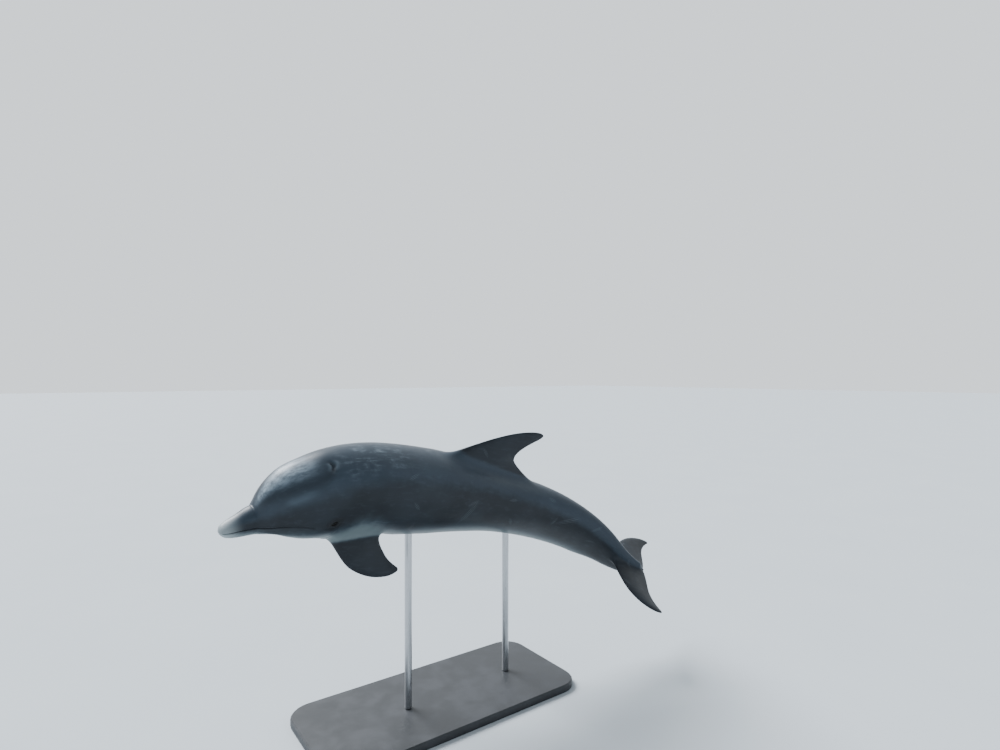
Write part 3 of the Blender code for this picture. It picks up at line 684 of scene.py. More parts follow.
# %% How a fin stands on the body
def fin_frame(shape, spine):
    """Where a fin stands, and its three directions: tailward, outward and across."""
    place, angle = shape["root place"], math.radians(shape["root angle"])
    origin = plain_skin(spine, place, angle)
    ahead = plain_skin(spine, place + 0.01, angle)
    beside = plain_skin(spine, place, angle + 0.05)
    tailward = (ahead - origin) / np.linalg.norm(ahead - origin)
    outward = np.cross(beside - origin, tailward)
    outward /= np.linalg.norm(outward)
    if np.dot(outward, origin - posed(spine, place, 0.0, middle_level(place))) < 0:
        outward = -outward
    across = np.cross(tailward, outward)
    outward, across = turned(outward, across, math.radians(shape["lean"]))
    return origin, np.stack((tailward, outward, across))


print("dorsal fin points", np.round(fin_frame(DORSAL_FIN, BENT)[1][1], 2))

# %% [markdown]
# The opening is a block of grid cells left out of the body. Its edge is a ring of grid points, and
# every ring of the fin has just as many, so the two can be sewn together one to one. The first few
# rings are the fillet: they leave the body along its own surface and arrive along the foil.

# %% The opening in the grid that a fin grows from
def opening(shape):
    """Ring and column numbers of the root's edge, once round from the middle of its front."""
    first, last = (int(np.argmin(np.abs(RINGS - p))) for p in shape["root span"])
    circle = 2 * np.pi
    low, high = (int(np.argmin(np.abs((TURNS - math.radians(a) + np.pi) % circle - np.pi)))
                 for a in shape["root angles"])
    width = (high - low) % len(TURNS)
    columns = [(low + k) % len(TURNS) for k in range(width + 1)]
    half = width // 2
    edge = [(first, c) for c in columns[half:]]
    edge += [(i, columns[-1]) for i in range(first + 1, last + 1)]
    rear = len(edge) + width - half - 1
    edge += [(last, c) for c in columns[-2::-1]]
    edge += [(i, columns[0]) for i in range(last - 1, first - 1, -1)]
    edge += [(first, c) for c in columns[1:half]]
    return first, last, columns, edge, rear


def even_turn(base, rear):
    """How far round the foil each edge point belongs, by distance along the edge."""
    step = np.linalg.norm(np.roll(base, -1, axis=0) - base, axis=1)
    far = np.concatenate(([0.0], np.cumsum(step)))
    top = np.pi * far[:rear] / far[rear]
    under = np.pi + np.pi * (far[rear:-1] - far[rear]) / (far[-1] - far[rear])
    return np.concatenate((top, under))


for name, shape in FINS.items():
    print(name, "has", len(opening(shape)[3]), "points round its root")

# %% Grow a fin from its root's edge
FILLET_RINGS = 7
FILLET_LEAVE = (1.2, 0.15)
FILLET_ARRIVE = (1.1, 1.6)
LEAST_RISE = 4 * MM


def grow_fin(shape, spine, base, turn, flip):
    """Rings of points from just off the body to the fin's tip; flip goes round the other way."""
    origin, axes = fin_frame(shape, spine)

    def foil(t):
        return origin + fin_section(shape, t, 2 * np.pi - turn if flip else turn) @ axes

    first, second = foil(shape["free from"]), foil(shape["free from"] + 0.03)
    reach = first - base
    outward = reach.mean(axis=0) / np.linalg.norm(reach.mean(axis=0))
    rise = np.maximum((reach @ outward), LEAST_RISE)[:, None]
    along = reach - (reach @ outward)[:, None] * outward
    size = np.linalg.norm(reach, axis=1)[:, None]
    leave = along * FILLET_LEAVE[0] + FILLET_LEAVE[1] * size * outward
    climb = second - first
    climb = climb / np.linalg.norm(climb, axis=1)[:, None] * np.minimum(FILLET_ARRIVE[0] * size,
                                                                        FILLET_ARRIVE[1] * rise)
    rings = []
    for u in np.linspace(0, 1, FILLET_RINGS + 1)[1:]:
        rings.append((2 * u**3 - 3 * u**2 + 1) * base + (u**3 - 2 * u**2 + u) * leave
                     + (3 * u**2 - 2 * u**3) * first + (u**3 - u**2) * climb)
    spread = np.sin(np.linspace(0, 0.5 * np.pi, shape["rings"] + 1)[1:])
    rings += [foil(t) for t in shape["free from"] + (1 - shape["free from"]) * spread]
    return np.array(rings)


print("rings in each fin:", {name: FILLET_RINGS + shape["rings"] for name, shape in FINS.items()})

# %% [markdown]
# ## Sewing the skin together
#
# All the points go into one list and all the faces into another, first the body grid with its
# openings and then each fin, which shares its first ring with the body. The same steps run on the
# straight spine for the second address.
#
# Between the flukes the real tail ends in a small notch. The grid's last few centimetres are drawn
# forward and slimmed there, so that the body ends inside the notch instead of filling it.

# %% Points of the body grid
ROWS, COLUMNS = len(RINGS), len(TURNS)
NOTCH_START = 0.965
NOTCH_SQUEEZE = 0.5
NOTCH_SLIMMING = 0.7


def grid_points(spine):
    """Every point of the body grid, features and all, on one of the two spines."""
    radius = section_radius(grid_places, grid_turns) + heights / BODY_LENGTH
    radius = radius * (1 - NOTCH_SLIMMING * ease(NOTCH_START, 1.0, grid_places))
    drawn_in = grid_places - NOTCH_SQUEEZE * np.maximum(grid_places - NOTCH_START, 0.0)
    return posed(spine, drawn_in, radius * np.cos(grid_turns),
                 middle_level(grid_places) + radius * np.sin(grid_turns))


bent_points = [grid_points(BENT).reshape(-1, 3)]
rest_points = [grid_points(STRAIGHT).reshape(-1, 3)]
total = ROWS * COLUMNS
print("grid points:", total)

# %% [markdown]
# A flat map for baking is laid out at the same time: the body unrolled like a label off a bottle, and
# the fins, unrolled too, in rows above it. Each box is left, bottom, right and top on the map.

# %% Faces of a fin and their places on the flat map
MAP_EDGE = 0.01
MAP_WIDTH = 0.98
MAP_BODY_TOP = 0.62
MAP_TIP = 0.006
MAP_BOXES = {"dorsal fin": (0.01, 0.65, 0.50, 0.80), "left flipper": (0.52, 0.65, 0.99, 0.73),
             "right flipper": (0.52, 0.745, 0.99, 0.825), "left fluke": (0.01, 0.835, 0.99, 0.905),
             "right fluke": (0.01, 0.92, 0.99, 0.99)}


def cover_fin(ids, tip, box):
    """Faces between a fin's rings of points and up to its tip, and each face's corners on the map."""
    layers, count = len(ids) - 1, ids.shape[1]
    u = np.linspace(box[0], box[2], count + 1)
    v = np.linspace(box[1], box[3] - MAP_TIP, layers + 1)
    covered, flat = [], []
    for r in range(layers):
        for k in range(count):
            n = (k + 1) % count
            covered.append([ids[r, k], ids[r + 1, k], ids[r + 1, n], ids[r, n]])
            flat.append([(u[k], v[r]), (u[k], v[r + 1]), (u[k + 1], v[r + 1]), (u[k + 1], v[r])])
    for k in range(count):
        covered.append([ids[layers, k], tip, ids[layers, (k + 1) % count]])
        flat.append([(u[k], v[-1]), (0.5 * (u[k] + u[k + 1]), box[3]), (u[k + 1], v[-1])])
    return covered, flat


print("map boxes:", len(MAP_BOXES))

# %% [markdown]
# A foil can meet its root's edge two ways round, and only one keeps the fin from twisting like a
# wrung cloth. The right one is the one whose points lie nearer to the edge that they are sewn to.

# %% Which way round a foil meets its root
def is_flipped(shape, edge_points, turn):
    """Whether the foil has to go round the other way to meet its root untwisted."""
    lengths = []
    for flip in (False, True):
        ring = grow_fin(shape, STRAIGHT, edge_points, turn, flip)[FILLET_RINGS - 1]
        lengths.append(np.linalg.norm(ring - edge_points, axis=1).sum())
    return lengths[1] < lengths[0]


print("root points of the dorsal fin:", len(opening(DORSAL_FIN)[3]), "and two ways round them")

# %% [markdown]
# Each fin is now grown twice, on the bent spine and on the straight one. Two more numbers are kept
# for each of its points. One says how much the point belongs to the fin, for the colours. The other
# says how much it may be moved when the root is softened.

# %% Add the fins
open_cells = np.zeros((ROWS - 1, COLUMNS), bool)
fin_faces, fin_corners = [], []
fin_amounts, fin_movable = [np.zeros(total)], []
for name, shape in FINS.items():
    first, last, columns, edge, rear = opening(shape)
    open_cells[first:last, columns[:-1]] = True
    edge_ids = np.array([i * COLUMNS + j for i, j in edge])
    turn = even_turn(rest_points[0][edge_ids], rear)
    flip = is_flipped(shape, rest_points[0][edge_ids], turn)
    for spine, points in ((BENT, bent_points), (STRAIGHT, rest_points)):
        rings = grow_fin(shape, spine, points[0][edge_ids], turn, flip)
        points += [rings.reshape(-1, 3), rings[-1].mean(axis=0)[None]]
    layers, count = rings.shape[:2]
    ids = np.vstack([edge_ids] + [total + k * count + np.arange(count) for k in range(layers)])
    tip = total + layers * count
    total = tip + 1
    covered, flat = cover_fin(ids, tip, MAP_BOXES[name])
    fin_faces += covered
    fin_corners += flat
    ring_numbers = np.arange(1, layers + 1)
    fin_amounts += [np.repeat(ease(0, FILLET_RINGS + 2, ring_numbers), count), np.ones(1)]
    fade = ease(FILLET_RINGS + 6, FILLET_RINGS, ring_numbers)
    fin_movable += [np.repeat(fade, count), np.zeros(1)]
    print(name, "root points", count, "rings", layers, "flipped", flip)

# %% The body's own faces
body_faces, body_corners = [], []
far_along = np.concatenate(([0], np.cumsum(np.diff(RINGS)))) / (RINGS[-1] - RINGS[0])
map_u = MAP_EDGE + MAP_WIDTH * far_along
map_v = [MAP_EDGE + MAP_BODY_TOP * j / COLUMNS for j in range(COLUMNS + 1)]
for i in range(ROWS - 1):
    for j in range(COLUMNS):
        if open_cells[i, j]:
            continue
        n = (j + 1) % COLUMNS
        body_faces.append([i * COLUMNS + j, i * COLUMNS + n,
                           (i + 1) * COLUMNS + n, (i + 1) * COLUMNS + j])
        body_corners.append([(map_u[i], map_v[j]), (map_u[i], map_v[j + 1]),
                             (map_u[i + 1], map_v[j + 1]), (map_u[i + 1], map_v[j])])
print("body faces", len(body_faces), "left open for fins", int(open_cells.sum()))

# %% A small cap at each end
for row, shift in ((0, -0.008), (ROWS - 1, 0.008)):
    for points in (bent_points, rest_points):
        points.append(points[0][row * COLUMNS:(row + 1) * COLUMNS].mean(axis=0)[None])
    fin_amounts.append(np.zeros(1))
    for j in range(COLUMNS):
        pair = [row * COLUMNS + j, row * COLUMNS + (j + 1) % COLUMNS]
        sides = [(map_u[row], map_v[j]), (map_u[row], map_v[j + 1])]
        if row == 0:
            pair, sides = pair[::-1], sides[::-1]
        body_faces.append(pair + [total])
        body_corners.append(sides + [(map_u[row] + shift, 0.5 * (map_v[j] + map_v[j + 1]))])
    total += 1
print("points in all:", total)

# %% [markdown]
# Two neighbouring faces agree on which side is out when they run along their shared edge in opposite
# directions. If a fin's faces run along the root's edge the same way as the body's do, all of them
# are turned over.

# %% Turn the fins' faces to agree with the body's
directed = {(f[k], f[(k + 1) % len(f)]) for f in body_faces for k in range(len(f))}
clashing = sum((f[k], f[(k + 1) % len(f)]) in directed for f in fin_faces for k in range(len(f)))
if clashing:
    fin_faces = [f[::-1] for f in fin_faces]
    fin_corners = [c[::-1] for c in fin_corners]
print("fin faces", len(fin_faces), "edges turned to agree:", clashing)

# %% [markdown]
# The fillets are still a little stiff where the fins leave the body. Soft tissue takes the smoothest
# way round a corner, and so does a surface whose points are moved, again and again, toward the middle
# of their neighbours. Only the points near the roots are moved.

# %% How much each point may move
ROOT_ROWS = 9
ROOT_COLUMNS = 8


def near_roots():
    """From 0 to 1, how much each point of the body grid may be moved."""
    weight = np.zeros((ROWS, COLUMNS))
    for shape in FINS.values():
        first, last, columns, _, _ = opening(shape)
        rows = np.arange(ROWS)
        row_far = np.maximum(np.maximum(first - rows, rows - last), 0) / ROOT_ROWS
        half = (len(columns) - 1) / 2
        off = np.abs((np.arange(COLUMNS) - columns[0] - half + COLUMNS / 2) % COLUMNS - COLUMNS / 2)
        column_far = np.maximum(off - half, 0) / ROOT_COLUMNS
        away = np.hypot(row_far[:, None], column_far[None, :])
        weight = np.maximum(weight, ease(1.0, 0.0, away))
    return weight.ravel()


movable = np.concatenate([near_roots()] + fin_movable + [np.zeros(2)])
print("points that may move:", int((movable > 0).sum()))

# %% Soften the fins' roots
ROOT_ROUNDS = 80


def relaxed(points, weight, pairs):
    """The points after many small moves toward the middle of their neighbours."""
    near = (weight[pairs[:, 0]] > 0) | (weight[pairs[:, 1]] > 0)
    a, b = pairs[near].T
    count = np.bincount(a, minlength=len(points)) + np.bincount(b, minlength=len(points))
    for _ in range(ROOT_ROUNDS):
        sums = [np.bincount(a, points[b, k], len(points)) + np.bincount(b, points[a, k], len(points))
                for k in range(3)]
        middle = np.stack(sums, axis=1) / np.maximum(count, 1)[:, None]
        points = points + 0.5 * weight[:, None] * np.where(count[:, None] > 0, middle - points, 0)
    return points


neighbours = np.array(sorted({(min(f[k], f[(k + 1) % len(f)]), max(f[k], f[(k + 1) % len(f)]))
                              for f in body_faces + fin_faces for k in range(len(f))}))
bent_all = relaxed(np.vstack(bent_points), movable, neighbours)
rest_all = relaxed(np.vstack(rest_points), movable, neighbours)
moved = np.linalg.norm(bent_all - np.vstack(bent_points), axis=1)
print("points moved:", int((moved > 1e-5).sum()), "furthest mm:", round(float(moved.max()) / MM, 1))

# %% [markdown]
# Now the lists become a mesh. The grid points inside the openings belong to no face, so they are
# dropped first and the rest renumbered. A skin with no open edge has an inside, so its volume can be
# measured as a check.

# %% From lists to a mesh
def make_mesh(name, points, faces, uv=None):
    """A smooth-shaded object from lists of points and faces, with its flat map if it has one."""
    mesh = bpy.data.meshes.new(name)
    mesh.from_pydata(points.tolist(), [], [list(map(int, f)) for f in faces])
    if uv is not None:
        layer = mesh.uv_layers.new(name="OFBake")
        layer.data.foreach_set("uv", np.array([c for face in uv for c in face], float).ravel())
    mesh.polygons.foreach_set("use_smooth", [True] * len(mesh.polygons))
    made = bpy.data.objects.new(name, mesh)
    bpy.context.scene.collection.objects.link(made)
    return made


all_faces = body_faces + fin_faces
used = np.zeros(total, bool)
used[np.concatenate([np.array(f, int) for f in all_faces])] = True
renumber = np.cumsum(used) - 1
rest = rest_all[used]
finness = np.concatenate(fin_amounts)[used]
skin = make_mesh("dolphin_skin", bent_all[used], [[renumber[k] for k in f] for f in all_faces],
                 body_corners + fin_corners)
print("skin points:", len(skin.data.vertices), "dropped:", int((~used).sum()))

# %% Turn the skin outside out and check that it is closed
work = bmesh.new()
work.from_mesh(skin.data)
if work.calc_volume(signed=True) < 0:
    bmesh.ops.reverse_faces(work, faces=work.faces)
open_edges = sum(not e.is_manifold for e in work.edges)
print("skin litres", round(work.calc_volume() * 1000, 1), "open edges", open_edges,
      "triangles", sum(len(f.verts) - 2 for f in work.faces))
work.to_mesh(skin.data)
work.free()

# %% [markdown]
# ## Where each colour goes
#
# The animal is countershaded: slate grey above, paler below, with the change low on the side. The
# edge dips under the flipper, where a pale patch reaches up from the chest, and runs low along the
# tail. Each marking is a soft mask worked out from the straight animal's own coordinates and kept on
# the skin's points, for the shader to break up with its own noise. The flank beneath all the markings
# is painted near black, darker than the cape, as painted shade.
#
# A point's address is its place along the body and its side angle: 0 degrees on the side, 90 on top
# and -90 underneath.

# %% Every skin point's address on the straight animal
along = rest[:, 0] / BODY_LENGTH
up = rest[:, 2] / BODY_LENGTH - middle_level(along)
to_left = -rest[:, 1] / BODY_LENGTH
side = np.abs(to_left)
side_angle = np.degrees(np.arctan2(up, side))
on_body = 1 - ease(0.05, 0.6, finness)
masks = {}
print("skin points on the body:", int((on_body > 0.5).sum()), "of", len(rest))

# %% Countershading: pale below, slate grey cape above, dark fins
PALE_EDGE = ((0.00, 4.0), (0.05, -2.0), (0.10, -4.0), (0.15, -18.0), (0.18, -17.0), (0.215, -8.0),
             (0.25, -16.0), (0.295, -34.0), (0.33, -37.0), (0.40, -28.0), (0.51, -23.0),
             (0.60, -32.0), (0.69, -49.0), (0.80, -66.0), (0.90, -84.0), (1.0, -95.0))
PALE_SOFTNESS = 26.0
CAPE_ANGLES = (20.0, 68.0)
FIN_COLOUR_START = 0.3
above_pale_edge = side_angle - curve_of(PALE_EDGE, along)
masks["pale"] = ease(PALE_SOFTNESS, -PALE_SOFTNESS, above_pale_edge) * on_body
masks["cape"] = ease(*CAPE_ANGLES, side_angle) * ease(1.0, FIN_COLOUR_START, finness)
masks["fin"] = ease(FIN_COLOUR_START, 1.0, finness)
print({key: round(float(masks[key].mean()), 3) for key in masks})

# %% [markdown]
# The face has a dark band from the crease to the blowhole. Above it the front of the melon is pale,
# a blaze with brushed edges, which is partly the melon's own pale skin and partly a painted highlight
# of the light from above. Below it runs a thin pale streak. A dark stripe leads to the eye, which
# sits in a dark patch, and the beak's tip is the palest place of all. Along the body each marking
# fades in over one span and out over another.

# %% Face markings, with a painted highlight on the melon
BROW_BAND = ((0.055, 74.0), (0.094, 65.0), (0.138, 63.0), (0.160, 70.0))
BROW_BAND_WIDTH = 7.0
BLAZE_AND_HIGHLIGHT_ABOVE_BAND = (3.0, 20.0)
STREAK_ANGLE = 52.0
STREAK_WIDTH = 4.5
BEAK_TIP = (0.036, 0.002)
FACE_SPANS = {"brow_band": ((0.053, 0.070), (0.172, 0.150)),
              "blaze_and_highlight": ((0.052, 0.064), (0.150, 0.100)),
              "streak": ((0.074, 0.094), (0.138, 0.112)),
              "eye_stripe": ((0.066, 0.090), (0.163, 0.145))}


def in_span(name, shape):
    """A marking's shape, faded in and out along the face."""
    fade_in, fade_out = FACE_SPANS[name]
    return shape * ease(*fade_in, along) * ease(*fade_out, along)


above_band = side_angle - curve_of(BROW_BAND, along)
masks["brow_band"] = in_span("brow_band", bell(above_band, BROW_BAND_WIDTH))
# Partly pale skin, partly a painted highlight where light from above falls on the melon.
masks["blaze_and_highlight"] = in_span("blaze_and_highlight", ease(*BLAZE_AND_HIGHLIGHT_ABOVE_BAND, above_band))
masks["streak"] = in_span("streak", bell(side_angle - STREAK_ANGLE, STREAK_WIDTH))
masks["beak_tip"] = ease(*BEAK_TIP, along)
print("blaze starts mm from the snout:", round(FACE_SPANS["blaze_and_highlight"][0][0] * BODY_LENGTH / MM))

# %% Round the eye
EYE_PATCH_HALF_LENGTH = 33
EYE_PATCH_HALF_HEIGHT = 23
STRIPE_LOW = 8
STRIPE_RISE = 62
STRIPE_WIDTH = 15.0
eye_back = (along - EYE_PLACE) * BODY_LENGTH
eye_rise = rest[:, 2] - float(middle_level(EYE_PLACE)) * BODY_LENGTH
eye_long, eye_short = turned(eye_back, eye_rise, EYE_TILT)
eye_far = np.hypot(eye_long / EYE_PATCH_HALF_LENGTH, eye_short / EYE_PATCH_HALF_HEIGHT) / MM
masks["eye_patch"] = ease(1.5, 0.5, eye_far) * ease(0.03, 0.05, side)
above_stripe = eye_rise / MM - STRIPE_LOW - STRIPE_RISE * ease(0.155, 0.075, along)
masks["eye_stripe"] = (in_span("eye_stripe", bell(above_stripe, STRIPE_WIDTH))
                       * ease(0.012, 0.03, side))
print("eye patch mm:", 2 * EYE_PATCH_HALF_LENGTH, "x", 2 * EYE_PATCH_HALF_HEIGHT)

# %% Worn back with painted light, raked trunk, and the features' painted shade and highlights
WORN_AND_LIT_FADE_IN, WORN_AND_LIT_FADE_OUT = (0.160, 0.200), (0.340, 0.240)
WORN_AND_LIT_ANGLES = (46.0, 72.0)
RAKED_FROM = (0.175, 0.230)
# The upper back behind the blowhole is paler: partly wear, partly painted light from above.
masks["worn"] = (ease(*WORN_AND_LIT_FADE_IN, along) * ease(*WORN_AND_LIT_FADE_OUT, along)
                 * ease(*WORN_AND_LIT_ANGLES, side_angle) * on_body)
masks["raked"] = ease(*RAKED_FROM, along)
_, detail = skin_features(along, np.arctan2(up, to_left))
for key in ("groove_shade", "lid", "lips"):
    masks[key] = detail[key] * on_body
print("masks:", ", ".join(masks))

# %% [markdown]
# The rake marks are drawn flat, so they need the second address once more, unrolled: metres along
# the body and metres round it from the belly. The fins get a flat address of their own, set well
# apart from the body's.

# %% The unrolled address
FIN_OFFSET = 3.0
section_angles = np.radians(np.arange(0, 360, 30.0))
mean_radius = section_radius(RINGS[:, None], section_angles[None, :]).mean(axis=1)
from_belly = (np.arctan2(up, to_left) + 0.5 * np.pi) % (2 * np.pi)
round_body = from_belly * np.interp(along, RINGS, mean_radius) * BODY_LENGTH
on_fin = rest[:, 2] - np.abs(rest[:, 1]) + FIN_OFFSET
unrolled = np.column_stack((rest[:, 0], np.where(finness > 0.5, on_fin, round_body),
                            np.zeros(len(rest))))
print("furthest round the body m:", round(float(round_body.max()), 2))

# %% Keep the addresses and the masks on the skin
for key, value in (("rest_place", rest), ("unrolled", unrolled)):
    stored = skin.data.attributes.new(key, "FLOAT_VECTOR", "POINT")
    stored.data.foreach_set("vector", value.ravel())
for key, value in masks.items():
    stored = skin.data.attributes.new(key, "FLOAT", "POINT")
    stored.data.foreach_set("value", np.clip(value, 0, 1))
print("kept on the skin:", len(masks) + 2)

# %% [markdown]
# ## Dolphin skin
#
# Living dolphin skin is smooth and rubbery, damp rather than wet, and has no hair or scales. What the
# eye sees is a soft broad sheen along the top, faint cloudy mottling, and a few fine pale lines: rake
# marks, left in parallel sets by other dolphins' teeth, a few millimetres apart.
#
# The noises are made first. Three are even in all directions: clouds 260 mm across, blotches 40 mm
# across and a grain of 4 mm. The fourth is stretched along the body, since old skin comes off in
# streaks, here 16 mm wide and 57 mm long. All are drawn on the straight animal, so they bend with
# the body.

# %% Skin material and its noises
# The flank's base colour is painted shade: near black, darker than the slate-grey cape above it.
SHADED_FLANK = "#11171d"
NOISES = {"clouds": (260 * MM, 2.0), "blotches": (40 * MM, 4.0), "grain": (4 * MM, 2.0)}
STREAK_SIZE = 16 * MM
STREAK_STRETCH = 0.28

skin_material = bpy.data.materials.new("damp_dolphin_skin")
skin_material.use_nodes = True
tree = skin_material.node_tree
shader = tree.nodes["Principled BSDF"]
rest_place = add_node(tree, "ShaderNodeAttribute", attribute_name="rest_place").outputs["Vector"]
noise = {name: add_node(tree, "ShaderNodeTexNoise", {"Vector": rest_place, "Scale": 1 / size,
                                                     "Detail": fineness, "Roughness": 0.55})
         for name, (size, fineness) in NOISES.items()}
stretched = add_node(tree, "ShaderNodeMapping",
                     {"Vector": rest_place, "Scale": (STREAK_STRETCH, 1.0, 1.0)})
streaks = add_node(tree, "ShaderNodeTexNoise", {"Vector": stretched, "Scale": 1 / STREAK_SIZE,
                                                "Detail": 5.0, "Roughness": 0.62})
print("streaks mm:", round(STREAK_SIZE / MM), "x", round(STREAK_SIZE / STREAK_STRETCH / MM))

# %% [markdown]
# On the animal no edge between two colours is ruled. The blotches are added to the masks of the
# countershading before these are sharpened, which frays their edges, and the blaze, partly a painted
# highlight, is thinned where the streaks are weak, so that its painted light falls in streaks. The
# pale mask is used twice: once whole, once for its brighter core.

# %% Break up the masks
amount = {name: add_node(tree, "ShaderNodeAttribute", attribute_name=name).outputs["Fac"]
          for name in masks}
uneven = add_node(tree, "ShaderNodeMapRange",
                  {0: noise["blotches"], 1: 0.25, 2: 0.75, 3: -0.12, 4: 0.12})
for name, source, low, high in (("cape", "cape", 0.15, 0.85), ("pale_core", "pale", 0.42, 1.10),
                                ("pale", "pale", 0.05, 0.85)):
    broken = add_node(tree, "ShaderNodeMath", {0: amount[source], 1: uneven}, operation="ADD")
    amount[name] = add_node(tree, "ShaderNodeMapRange", {0: broken, 1: low, 2: high},
                            interpolation_type="SMOOTHSTEP")
# Streaks in the blaze's painted highlight.
highlight_streaks = add_node(tree, "ShaderNodeMapRange", {0: streaks, 1: 0.36, 2: 0.62, 3: 0.35, 4: 1.0})
amount["blaze_and_highlight"] = add_node(tree, "ShaderNodeMath", {0: amount["blaze_and_highlight"], 1: highlight_streaks},
                           operation="MULTIPLY")
print("masks in the material:", len(amount))

# %% [markdown]
# The colours go on in layers over the flank, like thin coats of paint. The flank is painted near
# black as shade, darker than the cape. Each layer is a mask, how strongly it covers, and a colour.

# %% Layers of colour
# The lips layer paints highlights on the blowhole's lips.
SKIN_LAYERS = (("cape", 0.90, "#2b3640"), ("fin", 0.90, "#11161c"), ("brow_band", 0.65, "#121920"),
               ("streak", 0.25, "#64737f"), ("blaze_and_highlight", 0.95, "#93a1ac"),
               ("eye_stripe", 0.40, "#121920"), ("pale", 0.60, "#47555d"),
               ("pale_core", 0.55, "#7f8b8b"), ("lips", 0.30, "#6c7a84"),
               ("beak_tip", 0.62, "#b4bdbf"), ("eye_patch", 0.90, "#080b0e"))

colour = linear(SHADED_FLANK)
for name, strength, code in SKIN_LAYERS:
    share = add_node(tree, "ShaderNodeMath", {0: amount[name], 1: strength}, operation="MULTIPLY")
    colour = add_node(tree, "ShaderNodeMix", {0: share, 6: colour, 7: linear(code)},
                      data_type="RGBA")
print("colour layers:", len(SKIN_LAYERS))

# %% [markdown]
# Mottling comes next: faint clouds and faint streaks all over. Behind the blowhole the upper back is
# paler in streaks, with dark skin left between them: partly old skin worn pale, partly painted light.

# %% Clouds, streaks and the worn place with its painted light
MOTTLE = "#5c6a76"
PALE_MARK = "#8996a0"
clouded = add_node(tree, "ShaderNodeMapRange", {0: noise["clouds"], 1: 0.40, 2: 0.70, 4: 0.07},
                   interpolation_type="SMOOTHSTEP")
streaked = add_node(tree, "ShaderNodeMapRange", {0: streaks, 1: 0.48, 2: 0.78, 4: 0.08},
                    interpolation_type="SMOOTHSTEP")
rubbed_and_lit = add_node(tree, "ShaderNodeMapRange", {0: streaks, 1: 0.36, 2: 0.78, 4: 0.55},
                  interpolation_type="SMOOTHSTEP")
patchy = add_node(tree, "ShaderNodeMapRange", {0: noise["blotches"], 1: 0.34, 2: 0.74},
                  interpolation_type="SMOOTHSTEP")
worn = add_node(tree, "ShaderNodeMath", {0: amount["worn"], 1: patchy}, operation="MULTIPLY")
worn = add_node(tree, "ShaderNodeMath", {0: worn, 1: rubbed_and_lit}, operation="MULTIPLY")
for share, code in ((clouded, MOTTLE), (streaked, MOTTLE), (worn, PALE_MARK)):
    colour = add_node(tree, "ShaderNodeMix", {0: share, 6: colour, 7: linear(code)},
                      data_type="RGBA")
print("mottling nodes so far:", len(tree.nodes))

# %% [markdown]
# Rake marks are short sets of straight, parallel lines. The flat, unrolled address is divided into
# irregular cells. In a few of them, chosen by the cell's own random colour, a set of lines is drawn
# about the cell's centre, turned by another random number and faded out toward the set's edge. There
# are two kinds, from small teeth and from large ones. The sizes are in millimetres, and the rarity is
# how high a cell's random number must be.

# %% Sizes of the rake marks
RAKE_STRENGTH = 0.18
RAKE_SETS = {"fine": {"cell": 120, "spacing": 5.5, "line": 0.8, "set": (34, 9), "rarity": 0.66},
             "broad": {"cell": 290, "spacing": 10.0, "line": 1.3, "set": (80, 17), "rarity": 0.62}}
unrolled_at = add_node(tree, "ShaderNodeAttribute", attribute_name="unrolled").outputs["Vector"]
print("rake lines mm apart:", [kind["spacing"] for kind in RAKE_SETS.values()])


# %% One line, and the outline of one set
def rake_lines(turned_place, spacing, thin):
    """1 on a line and 0 between two lines."""
    across = add_node(tree, "ShaderNodeSeparateXYZ", {0: turned_place})
    nearest = add_node(tree, "ShaderNodeMath", {0: across.outputs["Y"], 1: 0.5 * spacing * MM},
                       operation="PINGPONG")
    return add_node(tree, "ShaderNodeMapRange", {0: nearest, 1: 0.3 * thin * MM,
                                                 2: 1.5 * thin * MM, 3: 1.0, 4: 0.0})


def within_set(turned_place, long_half, wide_half):
    """1 in the middle of a set of lines, fading to 0 at its edge."""
    shrink = (1 / (long_half * MM), 1 / (wide_half * MM), 0)
    scaled = add_node(tree, "ShaderNodeVectorMath", {0: turned_place, 1: shrink},
                      operation="MULTIPLY")
    reach = add_node(tree, "ShaderNodeVectorMath", {0: scaled}, operation="LENGTH")
    return add_node(tree, "ShaderNodeMapRange", {0: reach.outputs["Value"], 1: 0.5, 2: 1.0,
                                                 3: 1.0, 4: 0.0}, interpolation_type="SMOOTHSTEP")


print("set sizes mm:", [(2 * kind["set"][0], 2 * kind["set"][1]) for kind in RAKE_SETS.values()])

# %% Draw the rake marks
for kind in RAKE_SETS.values():
    cells = add_node(tree, "ShaderNodeTexVoronoi", {"Vector": unrolled_at,
                                                    "Scale": 1 / (kind["cell"] * MM)},
                     voronoi_dimensions="2D")
    chance = add_node(tree, "ShaderNodeSeparateColor", {0: cells.outputs["Color"]})
    inside = add_node(tree, "ShaderNodeVectorMath", {0: unrolled_at, 1: cells.outputs["Position"]},
                      operation="SUBTRACT")
    heading = add_node(tree, "ShaderNodeMath", {0: chance.outputs["Red"], 1: math.pi},
                       operation="MULTIPLY")
    place = add_node(tree, "ShaderNodeVectorRotate", {"Vector": inside, "Angle": heading},
                     rotation_type="Z_AXIS")
    chosen = add_node(tree, "ShaderNodeMath", {0: chance.outputs["Green"], 1: kind["rarity"]},
                      operation="GREATER_THAN")
    drawn = rake_lines(place, kind["spacing"], kind["line"])
    for factor in (within_set(place, *kind["set"]), chosen, amount["raked"], RAKE_STRENGTH):
        drawn = add_node(tree, "ShaderNodeMath", {0: drawn, 1: factor}, operation="MULTIPLY")
    colour = add_node(tree, "ShaderNodeMix", {0: drawn, 6: colour, 7: linear(PALE_MARK)},
                      data_type="RGBA")
print("rake sets:", ", ".join(RAKE_SETS))
